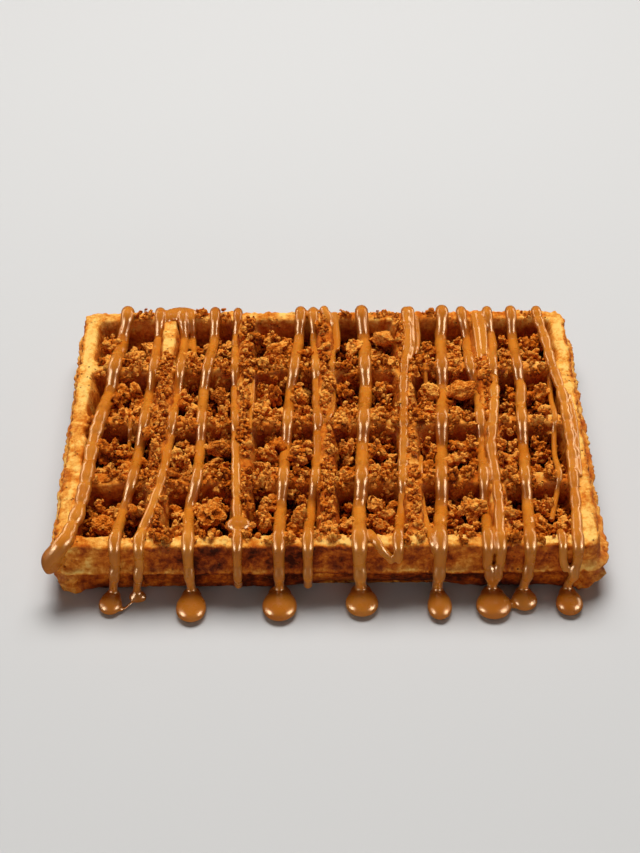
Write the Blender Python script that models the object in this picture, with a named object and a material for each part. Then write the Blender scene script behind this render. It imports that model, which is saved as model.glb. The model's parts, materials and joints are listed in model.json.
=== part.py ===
"""Deep-grid waffle, baked in a hinged iron, with biscuit crumbs in its wells and caramel sauce over it.

Frame: X runs along the long side, Y runs from the front to the rear, Z points up.
The origin is on the underside, below the middle crossing of the ribs. All lengths are metres.
"""

import math
import random

import bmesh
import bpy
from mathutils import Matrix, Vector, noise

# Grid of the iron
COLUMNS = 6
ROWS = 4
PITCH = 0.028
RIB_TOP = 0.0052
RIM_TOP = 0.0058
HEIGHT = 0.021
SEAM = 0.0105
WELL_DEPTH = 0.009
WELL_DRAFT = 0.0022
WELL_CORNER = 0.0022
CORNER_RADIUS = 0.0055
LENGTH = COLUMNS * PITCH + RIM_TOP
WIDTH = ROWS * PITCH + RIM_TOP

# Side crust: height above the underside, distance out from the nominal outline, unevenness
CRUST_PROFILE = (
    (0.0000, -0.0030, 0.0000),
    (0.0086, -0.0004, 0.0005),
    (0.0097, 0.0026, 0.0012),
    (0.0114, 0.0028, 0.0012),
    (0.0128, 0.0004, 0.0005),
    (0.0194, -0.0004, 0.0003),
    (HEIGHT, -0.0014, 0.0000),
)
CORNER_STEPS = 3
LONG_SIDE_STEPS = 10
SHORT_SIDE_STEPS = 7

# Biscuit crumbs: the packed bed that half fills each upper well, and the ones that stand out of it
BED_TOP = HEIGHT - 0.0052
BED_LUMP = 0.0012
BED_SLOPE = 0.0022
BED_PRESS = 0.0024
CRUMBS_PER_WELL = 3
CRUMB_RADIUS = (0.0019, 0.0030)
CRUMB_SPREAD = 0.0066
CRUMB_REACH = (0.55, 1.0)
RIB_CRUMBS = 20
RIB_CRUMB_COLUMNS = (-1.9, 1.9)
RIB_CRUMB_ROWS = (-1.9, 1.4)
RIB_CRUMB_RADIUS = (0.0012, 0.0018)
CHUNK_CLEARANCE = 0.0007

# Large biscuit chunks: centre, length, width, thickness, turn and tilt in degrees
CHUNKS = {
    "biscuit_chunk_1": ((0.0481, 0.0140, 0.0217), (0.0118, 0.0076, 0.0048), 14, -12),
    "biscuit_chunk_2": ((0.0205, 0.0430, 0.0197), (0.0084, 0.0080, 0.0062), -20, 10),
    "biscuit_chunk_3": ((-0.0370, -0.0430, 0.0196), (0.0088, 0.0094, 0.0058), 35, 8),
    "biscuit_chunk_4": ((0.0684, 0.0158, 0.0152), (0.0104, 0.0084, 0.0050), 10, 6),
    "biscuit_chunk_5": ((-0.0370, 0.0158, 0.0190), (0.0052, 0.0086, 0.0058), -10, 6),
    "biscuit_chunk_6": ((-0.0360, -0.0112, 0.0195), (0.0078, 0.0070, 0.0052), -20, -8),
    "biscuit_chunk_7": ((-0.0728, -0.0440, 0.0159), (0.0080, 0.0074, 0.0048), 30, 6),
}
# Shape of a chunk: lumpiness and its scale, share that is boxy, how far corners go, and overall fit
CHUNK_LUMP = 0.14
CHUNK_LUMP_SCALE = 1.9
CHUNK_BOXY = 0.55
CHUNK_CORNER = 1.35
CHUNK_ROUND = 0.42
CHUNK_FIT = 0.92
CHUNK_MARGIN = 2.4

# Sauce strands: x where each crosses the five cross ribs from rear to front, width, and the foot
# that it ends in. A strand with a drop carries on down to it.
STRANDS = {
    "strand_01": ((-0.0718, -0.0742, -0.0773, -0.0792, -0.0831), 0.0046, "corner"),
    "strand_02": ((-0.0600, -0.0605, -0.0621, -0.0640, -0.0676), 0.0036, "drop_1"),
    "strand_03": ((-0.0517, -0.0510, -0.0525, -0.0544, -0.0599), 0.0034, "drop_2"),
    "strand_04": ((-0.0399, -0.0415, -0.0424, -0.0428, -0.0444), 0.0036, "drop_3"),
    "strand_05": ((-0.0316, -0.0318, -0.0310, -0.0299, -0.0288), 0.0032, "low_end"),
    "strand_06": ((-0.0087, -0.0109, -0.0131, -0.0144, -0.0156), 0.0038, "drop_4"),
    "strand_07": ((-0.0041, -0.0033, -0.0026, -0.0034, -0.0064), 0.0034, "low_end"),
    "strand_08": ((0.0135, 0.0140, 0.0129, 0.0115, 0.0104), 0.0046, "drop_5"),
    "strand_09": ((0.0297, 0.0280, 0.0265, 0.0250, 0.0223), 0.0036, "mid_end"),
    "strand_10": ((0.0429, 0.0411, 0.0395, 0.0378, 0.0356), 0.0044, "drop_6"),
    "strand_11": ((0.0499, 0.0516, 0.0526, 0.0517, 0.0508), 0.0036, "drop_7"),
    "strand_12": ((0.0594, 0.0588, 0.0566, 0.0556, 0.0548), 0.0036, "drop_7"),
    "strand_13": ((0.0680, 0.0677, 0.0668, 0.0654, 0.0642), 0.0038, "drop_8"),
    "strand_14": ((0.0774, 0.0799, 0.0819, 0.0812, 0.0790), 0.0038, "drop_9"),
}

# Drops at the foot of the front: centre x, front edge y, width, length, height
DROPS = {
    "drop_1": (-0.0691, -0.0694, 0.0076, 0.0108, 0.0040),
    "drop_2": (-0.0615, -0.0640, 0.0058, 0.0052, 0.0030),
    "drop_3": (-0.0439, -0.0729, 0.0098, 0.0144, 0.0050),
    "drop_4": (-0.0156, -0.0727, 0.0112, 0.0150, 0.0052),
    "drop_5": (0.0107, -0.0710, 0.0107, 0.0136, 0.0050),
    "drop_6": (0.0352, -0.0724, 0.0080, 0.0138, 0.0048),
    "drop_7": (0.0529, -0.0724, 0.0114, 0.0138, 0.0052),
    "drop_8": (0.0630, -0.0687, 0.0084, 0.0102, 0.0042),
    "drop_9": (0.0771, -0.0709, 0.0088, 0.0120, 0.0048),
}

# How a strand lies: its number of sides, lift of its middle above a rib in radii, and sag in a well
STRAND_SIDES = 5
STRAND_LIFT = 0.30
STRAND_SAG = 0.0046
RIDGE = HEIGHT + 0.0004
# Places between two cross ribs, as parts of the pitch and of the sag
SAG_PLACES = ((0.32, 0.85), (0.66, 1.0))
# Over the rear: distance out from the outline and height
REAR_END = (0.0010, HEIGHT - 0.0075)
REAR_LIP = (0.0006, HEIGHT - 0.0022)
# Down the front: distance out from the outline and height, at the rim, over the seam and at each end
FRONT_LIP = (0.0008, HEIGHT - 0.0026)
FRONT_SEAM = (0.0028, SEAM + 0.0005)
MID_END = (0.0012, 0.0135)
LOW_END = (0.0014, 0.0030)
DROP_ENTRY = 0.0025
# Share of the way to its drop that a strand has gone sideways where it passes the seam
SEAM_SHIFT = 0.35
# Radii of a strand, as parts of half its width
REAR_TAPER = (0.75, 0.9)
RIB_SWELL = 1.12
WELL_THIN = 0.95
END_TAPER = 0.85
# The thick strand that wraps the front left corner: steps left, steps out, heights and radii
CORNER_WRAP = (
    (0.0032, -0.0005, HEIGHT - 0.0018, 1.15),
    (0.0050, 0.0012, SEAM + 0.0050, 1.25),
    (0.0046, 0.0022, SEAM + 0.0012, 1.10),
)

# Short side runs of sauce: x, y, height and radius at each point
FRONT = -WIDTH / 2
REAR = WIDTH / 2
SIDE_RUNS = {
    "side_run_v": (
        (0.0130, FRONT + 0.0070, RIDGE - 0.0010, 0.0012),
        (0.0150, FRONT + 0.0024, RIDGE, 0.0016),
        (0.0182, FRONT - 0.0008, HEIGHT - 0.0030, 0.0016),
        (0.0206, FRONT - 0.0010, 0.0135, 0.0014),
    ),
    "side_run_right": (
        (0.0750, FRONT + 0.0050, RIDGE, 0.0013),
        (0.0752, FRONT - 0.0006, HEIGHT - 0.0028, 0.0015),
        (0.0768, FRONT - 0.0028, SEAM + 0.0005, 0.0014),
    ),
    "side_run_middle": (
        (0.0000, REAR - 0.0010, RIDGE, 0.0015),
        (0.0022, REAR - 0.0080, RIDGE - 0.0030, 0.0014),
        (0.0024, PITCH, RIDGE, 0.0015),
        (0.0008, PITCH * 0.5, RIDGE - 0.0030, 0.0013),
        (-0.0020, 0.0, RIDGE, 0.0012),
    ),
    "side_run_inner": (
        (0.0796, PITCH, RIDGE, 0.0013),
        (0.0789, PITCH * 0.5, RIDGE - 0.0040, 0.0012),
        (0.0781, 0.0, RIDGE, 0.0013),
        (0.0776, -PITCH * 0.5, RIDGE - 0.0040, 0.0012),
        (0.0766, -PITCH, RIDGE, 0.0013),
        (0.0724, -PITCH * 1.5, RIDGE - 0.0045, 0.0012),
    ),
}
# Wide patch of sauce over the rear rim: middle and half sizes
REAR_SHEET_MIDDLE = (-0.0500, REAR - 0.0024, HEIGHT - 0.0002)
REAR_SHEET_HALF = (0.0076, 0.0050, 0.0021)

# Drops are domes: how much of the ball below its middle stays above the surface, and its facets
DROP_WAIST = 0.25
DROP_FACETS = (10, 6)

# Unevenness of the side crust and of the crumb beds, as steps along a smooth noise
CRUST_NOISE_STEP = 0.71
CRUST_NOISE_LEVEL = 1.3
BED_NOISE_SCALE = 190.0
CRUMB_STRETCH = (0.8, 1.2)
CRUMB_DENT = (0.82, 1.15)
CRUMB_RISE = 0.35
RIB_CRUMB_RISE = 0.25

WELL_CUT_CLEAR = 0.001
WELD_DISTANCE = 0.000001
FLAT_ANGLE = math.radians(6.0)
SEED = 7


def new_collection(name):
    """Adds a collection to the scene and returns it."""
    collection = bpy.data.collections.new(name)
    bpy.context.scene.collection.children.link(collection)
    return collection


def new_material(name, colour, roughness):
    """Returns a Principled material of one colour."""
    material = bpy.data.materials.new(name)
    material.use_nodes = True
    shader = material.node_tree.nodes["Principled BSDF"]
    shader.inputs["Base Color"].default_value = (*colour, 1.0)
    shader.inputs["Roughness"].default_value = roughness
    shader.inputs["Metallic"].default_value = 0.0
    return material


def add_object(name, bm, collection):
    """Turns a bmesh into a linked object whose faces point out."""
    bmesh.ops.recalc_face_normals(bm, faces=bm.faces)
    mesh = bpy.data.meshes.new(name)
    bm.to_mesh(mesh)
    bm.free()
    obj = bpy.data.objects.new(name, mesh)
    collection.objects.link(obj)
    return obj


def loft(bm, rings, first_middle=None):
    """Joins closed rings of equal count and caps both ends, the first as a fan if its middle is given."""
    ring_verts = [[bm.verts.new(point) for point in ring] for ring in rings]
    count = len(rings[0])
    for lower, upper in zip(ring_verts, ring_verts[1:]):
        for i in range(count):
            j = (i + 1) % count
            bm.faces.new((lower[i], lower[j], upper[j], upper[i]))
    first = ring_verts[0]
    if first_middle is None:
        bm.faces.new(list(reversed(first)))
    else:
        middle = bm.verts.new(first_middle)
        for i in range(count):
            bm.faces.new((middle, first[(i + 1) % count], first[i]))
    bm.faces.new(ring_verts[-1])


def outline_points(half_x, half_y, radius):
    """Points and outward directions round a rectangle with rounded corners, anticlockwise."""
    points = []
    corners = ((1, -1, -90), (1, 1, 0), (-1, 1, 90), (-1, -1, 180))
    side_steps = (SHORT_SIDE_STEPS, LONG_SIDE_STEPS, SHORT_SIDE_STEPS, LONG_SIDE_STEPS)
    for (sign_x, sign_y, start), steps in zip(corners, side_steps):
        centre = Vector((sign_x * (half_x - radius), sign_y * (half_y - radius), 0.0))
        for i in range(CORNER_STEPS + 1):
            angle = math.radians(start + 90.0 * i / CORNER_STEPS)
            out = Vector((math.cos(angle), math.sin(angle), 0.0))
            points.append((centre + out * radius, out))
        along = Vector((-out.y, out.x, 0.0))
        end = centre + out * radius
        run = 2.0 * ((half_y if abs(out.x) > abs(out.y) else half_x) - radius)
        for i in range(1, steps):
            points.append((end + along * run * i / steps, out))
    return points


def build_crust(collection):
    """The whole baked body before its wells are cut, with the uneven seam between the two irons."""
    bm = bmesh.new()
    outline = outline_points(LENGTH / 2, WIDTH / 2, CORNER_RADIUS)
    rings = []
    for level, (z, out_by, uneven) in enumerate(CRUST_PROFILE):
        ring = []
        for i, (point, out) in enumerate(outline):
            place = Vector((i * CRUST_NOISE_STEP, level * CRUST_NOISE_LEVEL, 4.0))
            wobble = noise.noise(place) * 2.0 * uneven
            moved = point + out * (out_by + wobble)
            ring.append((moved.x, moved.y, z))
        rings.append(ring)
    loft(bm, rings)
    return add_object("waffle", bm, collection)


def square_ring(centre_x, centre_y, half, z):
    """A square ring with each corner cut across."""
    cut = half - WELL_CORNER
    corners = ((cut, -half), (half, -cut), (half, cut), (cut, half),
               (-cut, half), (-half, cut), (-half, -cut), (-cut, -half))
    return [(centre_x + dx, centre_y + dy, z) for dx, dy in corners]


def well_centres():
    """Middle of each well, row by row from the front."""
    for row in range(ROWS):
        for column in range(COLUMNS):
            x = (column - (COLUMNS - 1) / 2) * PITCH
            y = (row - (ROWS - 1) / 2) * PITCH
            yield x, y


def chunks_near(x, y, margin):
    """Top and underside of each large chunk that a round thing at x, y would meet."""
    for centre, size, _turn, _tilt in CHUNKS.values():
        away_x = abs(x - centre[0]) - size[0] / 2
        away_y = abs(y - centre[1]) - size[1] / 2
        if max(away_x, away_y) < margin:
            half = size[2] / 2 + CHUNK_CLEARANCE
            yield centre[2], centre[2] + half, centre[2] - half


def bed_height(x, y):
    """Top of the packed crumbs at a place in a well: lower at the rear wall, pressed in under a chunk."""
    lump = noise.noise(Vector((x * BED_NOISE_SCALE, y * BED_NOISE_SCALE, 1.5))) * 2.0
    from_middle = ((y / PITCH + ROWS / 2) % 1.0) - 0.5
    height = BED_TOP + BED_LUMP * lump - BED_SLOPE * from_middle
    for _middle, _top, underside in chunks_near(x, y, 0.0):
        height = min(height, underside - BED_PRESS)
    return height


def build_wells(collection):
    """One cutter for the upper wells, down to the bed of crumbs in each, and one for the lower wells."""
    half_top = (PITCH - RIB_TOP) / 2
    bm = bmesh.new()
    for x, y in well_centres():
        half_bed = half_top - WELL_DRAFT * (HEIGHT - BED_TOP) / WELL_DEPTH
        bed = [(px, py, bed_height(px, py)) for px, py, _z in square_ring(x, y, half_bed, 0.0)]
        loft(bm, [
            bed,
            square_ring(x, y, half_top, HEIGHT),
            square_ring(x, y, half_top, HEIGHT + WELL_CUT_CLEAR),
        ], first_middle=(x, y, bed_height(x, y)))
    upper = add_object("upper_wells", bm, collection)
    bm = bmesh.new()
    for x, y in well_centres():
        loft(bm, [
            square_ring(x, y, half_top, -WELL_CUT_CLEAR),
            square_ring(x, y, half_top, 0.0),
            square_ring(x, y, half_top - WELL_DRAFT, WELL_DEPTH),
        ])
    lower = add_object("lower_wells", bm, collection)
    for cutter in (upper, lower):
        cutter.hide_render = True
        cutter.display_type = "WIRE"
    return upper, lower


def clear_of_chunks(x, y, z, radius):
    """True where a crumb of this radius keeps away from every large chunk."""
    for (centre, size, _turn, _tilt) in CHUNKS.values():
        reach = 0.5 * max(size) * (1.0 + CHUNK_LUMP) + radius + CHUNK_CLEARANCE
        if (Vector((x, y, z)) - Vector(centre)).length < reach:
            return False
    return True


def add_crumb(name, centre, radius, rng, collection):
    """A broken biscuit crumb: a faceted lump with its corners pushed in and out at random."""
    bm = bmesh.new()
    bmesh.ops.create_icosphere(bm, subdivisions=1, radius=radius)
    stretch = Vector([rng.uniform(*CRUMB_STRETCH) for _axis in range(3)])
    for vert in bm.verts:
        vert.co = vert.co * stretch * rng.uniform(*CRUMB_DENT)
        vert.co += Vector(centre)
    add_object(name, bm, collection)


def build_crumbs(collection):
    """Crumbs that stand out of the beds, and smaller ones on the ribs of the middle columns."""
    rng = random.Random(SEED)
    number = 0
    for x, y in well_centres():
        for i in range(CRUMBS_PER_WELL):
            angle = 2.0 * math.pi * (i + rng.uniform(0.1, 0.9)) / CRUMBS_PER_WELL
            reach = CRUMB_SPREAD * rng.uniform(*CRUMB_REACH)
            radius = rng.uniform(*CRUMB_RADIUS)
            place_x = x + reach * math.cos(angle)
            place_y = y + reach * math.sin(angle)
            place_z = bed_height(place_x, place_y) + radius * CRUMB_RISE
            if clear_of_chunks(place_x, place_y, place_z, radius):
                number += 1
                add_crumb(f"crumb_{number:03d}", (place_x, place_y, place_z), radius, rng, collection)
    for _ in range(RIB_CRUMBS):
        radius = rng.uniform(*RIB_CRUMB_RADIUS)
        if rng.random() < 0.5:
            place_x = rng.uniform(*RIB_CRUMB_COLUMNS) * PITCH
            place_y = rng.choice((-1, 0, 1)) * PITCH + rng.uniform(-0.3, 0.3) * RIB_TOP
        else:
            place_x = rng.choice((-2, -1, 0, 1)) * PITCH + rng.uniform(-0.3, 0.3) * RIB_TOP
            place_y = rng.uniform(*RIB_CRUMB_ROWS) * PITCH
        place_z = HEIGHT + radius * RIB_CRUMB_RISE
        if clear_of_chunks(place_x, place_y, place_z, radius):
            number += 1
            add_crumb(f"crumb_{number:03d}", (place_x, place_y, place_z), radius, rng, collection)


def smooth_between(values, where):
    """Reads evenly spaced values at a fractional place, by a Catmull-Rom curve."""
    last = len(values) - 1
    i = min(int(where), last - 1)
    t = where - i
    before = values[max(i - 1, 0)]
    here = values[i]
    there = values[i + 1]
    after = values[min(i + 2, last)]
    slope_here = (there - before) / 2.0
    slope_there = (after - here) / 2.0
    return ((2 * t**3 - 3 * t**2 + 1) * here + (t**3 - 2 * t**2 + t) * slope_here
            + (-2 * t**3 + 3 * t**2) * there + (t**3 - t**2) * slope_there)


def past_chunks(x, y, z, radius):
    """Height at which a strand passes over a low chunk or under a high one."""
    for middle, top, underside in chunks_near(x, y, radius * CHUNK_MARGIN):
        z = max(z, top + radius) if middle < z else min(z, underside - radius)
    return z


def strand_route(crossings, width, foot):
    """Points and radii of one strand, from its hanging end at the rear to its foot at the front."""
    radius = width / 2
    ridge = HEIGHT + STRAND_LIFT * radius
    route = [(crossings[0], REAR + out, z, radius * part)
             for (out, z), part in zip((REAR_END, REAR_LIP), REAR_TAPER)]
    for rib in range(ROWS):
        y = (ROWS / 2 - rib) * PITCH
        route.append((crossings[rib], y, ridge, radius * RIB_SWELL))
        for part, sag in SAG_PLACES:
            x = smooth_between(crossings, rib + part)
            well_y = y - part * PITCH
            z = past_chunks(x, well_y, ridge - STRAND_SAG * sag, radius)
            route.append((x, well_y, z, radius * WELL_THIN))
    front_x = crossings[-1]
    route.append((front_x, -ROWS / 2 * PITCH, ridge, radius * RIB_SWELL))
    if foot == "corner":
        for left, out, z, part in CORNER_WRAP:
            route.append((front_x - left, FRONT - out, z, radius * part))
        return route
    out, z = FRONT_LIP
    route.append((front_x, FRONT - out, z, radius))
    if foot == "mid_end":
        out, z = MID_END
        route.append((front_x, FRONT - out, z, radius * END_TAPER))
        return route
    foot_x = DROPS[foot][0] if foot in DROPS else front_x
    near = front_x + (foot_x - front_x) * SEAM_SHIFT
    out, z = FRONT_SEAM
    seam_y = FRONT - out
    route.append((near, seam_y, z, radius * WELL_THIN))
    if foot == "low_end":
        out, z = LOW_END
        route.append((near, FRONT - out, z, radius * END_TAPER))
        return route
    drop_x, front_y, _width, length, _height = DROPS[foot]
    drop_y = front_y + length / 2
    route.append((drop_x, (drop_y + seam_y) / 2, DROP_ENTRY, radius * WELL_THIN))
    return route


def build_section(collection):
    """The outline that every strand is swept with: a few sides, one of them facing down."""
    curve = bpy.data.curves.new("strand_section", "CURVE")
    curve.dimensions = "2D"
    spline = curve.splines.new("POLY")
    spline.points.add(STRAND_SIDES - 1)
    spline.use_cyclic_u = True
    for i, point in enumerate(spline.points):
        angle = 2.0 * math.pi * (i + 0.5) / STRAND_SIDES - math.pi / 2
        point.co = (math.cos(angle), math.sin(angle), 0.0, 1.0)
    section = bpy.data.objects.new("strand_section", curve)
    collection.objects.link(section)
    return section


def build_strand(name, route, section, collection):
    """A tube of varying thickness along a route, made a closed mesh."""
    curve = bpy.data.curves.new(name, "CURVE")
    curve.dimensions = "3D"
    curve.bevel_mode = "OBJECT"
    curve.bevel_object = section
    curve.use_fill_caps = True
    spline = curve.splines.new("POLY")
    spline.points.add(len(route) - 1)
    for point, (x, y, z, radius) in zip(spline.points, route):
        point.co = (x, y, z, 1.0)
        point.radius = radius
    guide = bpy.data.objects.new(name + "_route", curve)
    collection.objects.link(guide)
    bpy.context.view_layer.update()
    evaluated = guide.evaluated_get(bpy.context.evaluated_depsgraph_get())
    mesh = bpy.data.meshes.new_from_object(evaluated)
    bpy.data.objects.remove(guide)
    bm = bmesh.new()
    bm.from_mesh(mesh)
    bmesh.ops.remove_doubles(bm, verts=bm.verts, dist=WELD_DISTANCE)
    bpy.data.meshes.remove(mesh)
    add_object(name, bm, collection)


def build_drop(name, centre_x, front_y, width, length, height, collection):
    """A thick drop of sauce that rests on the surface under the waffle: a dome cut flat below."""
    bm = bmesh.new()
    around, up = DROP_FACETS
    bmesh.ops.create_uvsphere(bm, u_segments=around, v_segments=up, radius=1.0)
    centre_y = front_y + length / 2
    for vert in bm.verts:
        vert.co.x = centre_x + vert.co.x * width / 2
        vert.co.y = centre_y + vert.co.y * length / 2
        vert.co.z = height * (vert.co.z + DROP_WAIST) / (1.0 + DROP_WAIST)
    cut = bmesh.ops.bisect_plane(bm, geom=bm.verts[:] + bm.edges[:] + bm.faces[:],
                                 plane_co=(0, 0, 0), plane_no=(0, 0, 1), clear_inner=True)
    rim = [item for item in cut["geom_cut"] if isinstance(item, bmesh.types.BMEdge)]
    bmesh.ops.edgeloop_fill(bm, edges=rim)
    add_object(name, bm, collection)


def build_rear_sheet(collection):
    """The wide patch of sauce over the rear rim, where two passes of the drizzle ran together."""
    bm = bmesh.new()
    bmesh.ops.create_uvsphere(bm, u_segments=8, v_segments=5, radius=1.0)
    for vert in bm.verts:
        vert.co = Vector(REAR_SHEET_MIDDLE) + vert.co * Vector(REAR_SHEET_HALF)
    add_object("rear_sheet", bm, collection)


def build_sauce(collection):
    """All the strands, the drops at their feet and the short side runs."""
    section = build_section(collection)
    for name, (crossings, width, foot) in STRANDS.items():
        build_strand(name, strand_route(crossings, width, foot), section, collection)
    for name, size in DROPS.items():
        build_drop(name, *size, collection)
    build_rear_sheet(collection)
    for name, route in SIDE_RUNS.items():
        build_strand(name, route, section, collection)
    bpy.data.objects.remove(section)


def apply_boolean(obj, operation, solver, operand=None, operands=None):
    """Applies one Boolean to an object, against another object or a whole collection."""
    modifier = obj.modifiers.new(operation.lower(), "BOOLEAN")
    modifier.operation = operation
    modifier.solver = solver
    if operands is None:
        modifier.object = operand
    else:
        modifier.operand_type = "COLLECTION"
        modifier.collection = operands
    bpy.context.view_layer.update()
    evaluated = obj.evaluated_get(bpy.context.evaluated_depsgraph_get())
    mesh = bpy.data.meshes.new_from_object(evaluated)
    obj.modifiers.remove(modifier)
    old = obj.data
    obj.data = mesh
    bpy.data.meshes.remove(old)


def keep_outer_body(obj):
    """Drops loose scraps and the skins of sealed hollows, and leaves the one outer body."""
    bm = bmesh.new()
    bm.from_mesh(obj.data)
    bmesh.ops.dissolve_limit(bm, angle_limit=FLAT_ANGLE, verts=bm.verts, edges=bm.edges)
    bmesh.ops.triangulate(bm, faces=bm.faces)
    unseen = set(bm.verts)
    bodies = []
    while unseen:
        stack = [unseen.pop()]
        body = set(stack)
        while stack:
            vert = stack.pop()
            for edge in vert.link_edges:
                other = edge.other_vert(vert)
                if other in unseen:
                    unseen.remove(other)
                    body.add(other)
                    stack.append(other)
        bodies.append(body)
    bodies.sort(key=len, reverse=True)
    scraps = [vert for body in bodies[1:] for vert in body]
    bmesh.ops.delete(bm, geom=scraps, context="VERTS")
    bm.to_mesh(obj.data)
    bm.free()


def empty_collection(collection):
    """Removes the objects of a collection, and the collection itself."""
    for obj in list(collection.objects):
        bpy.data.objects.remove(obj)
    bpy.data.collections.remove(collection)


def build_chunk(name, centre, size, turn, tilt, collection):
    """A large broken piece of biscuit: a lumpy block with soft corners."""
    bm = bmesh.new()
    bmesh.ops.create_icosphere(bm, subdivisions=3, radius=1.0)
    offset = Vector((len(name) * 1.7, centre[0] * 900.0, centre[1] * 700.0))
    for vert in bm.verts:
        way = vert.co.normalized()
        boxy = 1.0 / max(abs(way.x), abs(way.y), abs(way.z))
        reach = CHUNK_BOXY * min(boxy, CHUNK_CORNER) + CHUNK_ROUND
        lump = 1.0 + CHUNK_LUMP * noise.noise(way * CHUNK_LUMP_SCALE + offset) * 1.4
        place = way * reach * lump
        vert.co = place * Vector(size) * 0.5 * CHUNK_FIT
    rotation = Matrix.Rotation(math.radians(turn), 3, "Z") @ Matrix.Rotation(math.radians(tilt), 3, "Y")
    bmesh.ops.rotate(bm, verts=bm.verts, cent=(0, 0, 0), matrix=rotation)
    chunk = add_object(name, bm, collection)
    chunk.location = centre
    return chunk


def build():
    """Builds the waffle and the large chunks that lie in its wells."""
    for obj in list(bpy.data.objects):
        bpy.data.objects.remove(obj)
    model = new_collection("waffle_with_sauce")
    cutters = new_collection("well_cutters")
    toppings = new_collection("toppings")
    crust_material = new_material("waffle_crust", (0.62, 0.33, 0.10), 0.65)
    biscuit_material = new_material("biscuit", (0.42, 0.19, 0.06), 0.85)

    waffle = build_crust(model)
    waffle.data.materials.append(crust_material)
    for cutter in build_wells(cutters):
        apply_boolean(waffle, "DIFFERENCE", "EXACT", operand=cutter)
    build_crumbs(toppings)
    build_sauce(toppings)
    apply_boolean(waffle, "UNION", "MANIFOLD", operands=toppings)
    empty_collection(toppings)
    keep_outer_body(waffle)

    for name, (centre, size, turn, tilt) in CHUNKS.items():
        chunk = build_chunk(name, centre, size, turn, tilt, model)
        chunk.data.materials.append(biscuit_material)


build()
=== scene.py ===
"""Deep-grid waffle with biscuit crumbs in its wells and caramel sauce over it.

Places and sizes below are in millimetres, in the part's own frame: X to the right along the long
side, Y to the rear, Z up from the underside. Meshes are scaled to metres when they are made.
"""
import json
import math
import random

import bmesh
import bpy
import numpy as np
from mathutils import Matrix, Vector, noise

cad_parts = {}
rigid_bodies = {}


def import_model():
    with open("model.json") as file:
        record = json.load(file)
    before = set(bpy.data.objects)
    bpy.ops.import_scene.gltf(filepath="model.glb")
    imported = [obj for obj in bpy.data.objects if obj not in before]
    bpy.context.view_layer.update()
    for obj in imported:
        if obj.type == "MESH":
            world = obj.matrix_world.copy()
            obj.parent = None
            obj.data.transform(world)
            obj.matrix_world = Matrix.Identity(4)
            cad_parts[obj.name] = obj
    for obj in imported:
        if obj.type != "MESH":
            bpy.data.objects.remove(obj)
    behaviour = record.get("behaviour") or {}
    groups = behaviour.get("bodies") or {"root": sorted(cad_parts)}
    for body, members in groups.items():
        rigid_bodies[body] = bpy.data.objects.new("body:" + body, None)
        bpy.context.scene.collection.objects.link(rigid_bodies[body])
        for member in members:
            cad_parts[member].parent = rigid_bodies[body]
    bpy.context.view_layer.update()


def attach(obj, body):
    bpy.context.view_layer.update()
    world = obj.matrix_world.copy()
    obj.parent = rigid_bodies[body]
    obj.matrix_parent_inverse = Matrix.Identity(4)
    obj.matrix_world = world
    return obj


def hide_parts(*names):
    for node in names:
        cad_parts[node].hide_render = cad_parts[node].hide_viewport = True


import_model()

MM = 0.001
SEED = 7

# Grid of the iron
COLUMNS = 6
ROWS = 4
PITCH = 28.0
RIB_HALF = 2.6
RIM_HALF = 2.9
HEIGHT = 21.0
SEAM = 10.5
WELL_DEPTH = 9.0
WELL_DRAFT = 2.2
WELL_CORNER = 2.4
CORNER_RADIUS = 5.5
# Half sizes: of the grid to the rims' middles, of the whole waffle, and of a well
GRID_X = COLUMNS * PITCH / 2
GRID_Y = ROWS * PITCH / 2
HALF_X = GRID_X + RIM_HALF
HALF_Y = GRID_Y + RIM_HALF
HALF_WELL = PITCH / 2 - RIB_HALF

# The photograph: where it was taken from, its view's right and forward, and its focal length and width
# in pixels, which a camera with a sensor of this width in millimetres repeats
EYE = (-5.361, -432.439, 422.265)
VIEW_RIGHT = (0.99997, -0.00758, 0.0)
VIEW_FORWARD = (0.00554, 0.73054, -0.68285)
FOCAL_PIXELS = 1730.37
PHOTO_PIXELS = 640.0
SENSOR_WIDTH = 36.0


def linear(red, green, blue):
    """A colour of 0 to 255 a channel, as the shader wants it."""
    out = []
    for part in (red, green, blue):
        part /= 255.0
        out.append(part / 12.92 if part <= 0.04045 else ((part + 0.055) / 1.055) ** 2.4)
    return (*out, 1.0)


def wave(x, y, z, seed=0.0):
    """Smooth noise from about -1 to 1 at a place in millimetres already scaled by the caller."""
    return noise.noise(Vector((x + seed * 17.3, y - seed * 9.1, z + seed * 3.7))) * 1.6


def ease(low, high, value):
    """0 below low, 1 above high, and smooth between."""
    t = np.clip((value - low) / (high - low), 0.0, 1.0)
    return t * t * (3.0 - 2.0 * t)


def bell(value, middle, width):
    """1 at the middle, falling smoothly to 0 on both sides."""
    return math.exp(-((value - middle) / width) ** 2)


def through(a, b, c, d, t):
    """Between b and c, at share t, on the smooth curve through all four."""
    return b + 0.5 * t * (c - a + t * (2 * a - 5 * b + 4 * c - d + t * (3 * (b - c) + d - a)))


# Helpers for nodes and meshes


class Tree:
    """Short way to add and join the nodes of one tree."""

    def __init__(self, tree):
        self.tree = tree

    def add(self, kind, values=None, **settings):
        node = self.tree.nodes.new(kind)
        for name, value in settings.items():
            setattr(node, name, value)
        self.fill(node, values or {})
        return node

    def fill(self, node, values):
        for key, value in values.items():
            self.feed(node.inputs[key], value)

    def feed(self, socket, value):
        if isinstance(value, bpy.types.Node):
            value = value.outputs[0]
        if isinstance(value, bpy.types.NodeSocket):
            self.tree.links.new(value, socket)
        else:
            socket.default_value = value

    def math(self, operation, a, b=0.0):
        return self.add("ShaderNodeMath", {0: a, 1: b}, operation=operation).outputs[0]


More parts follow.
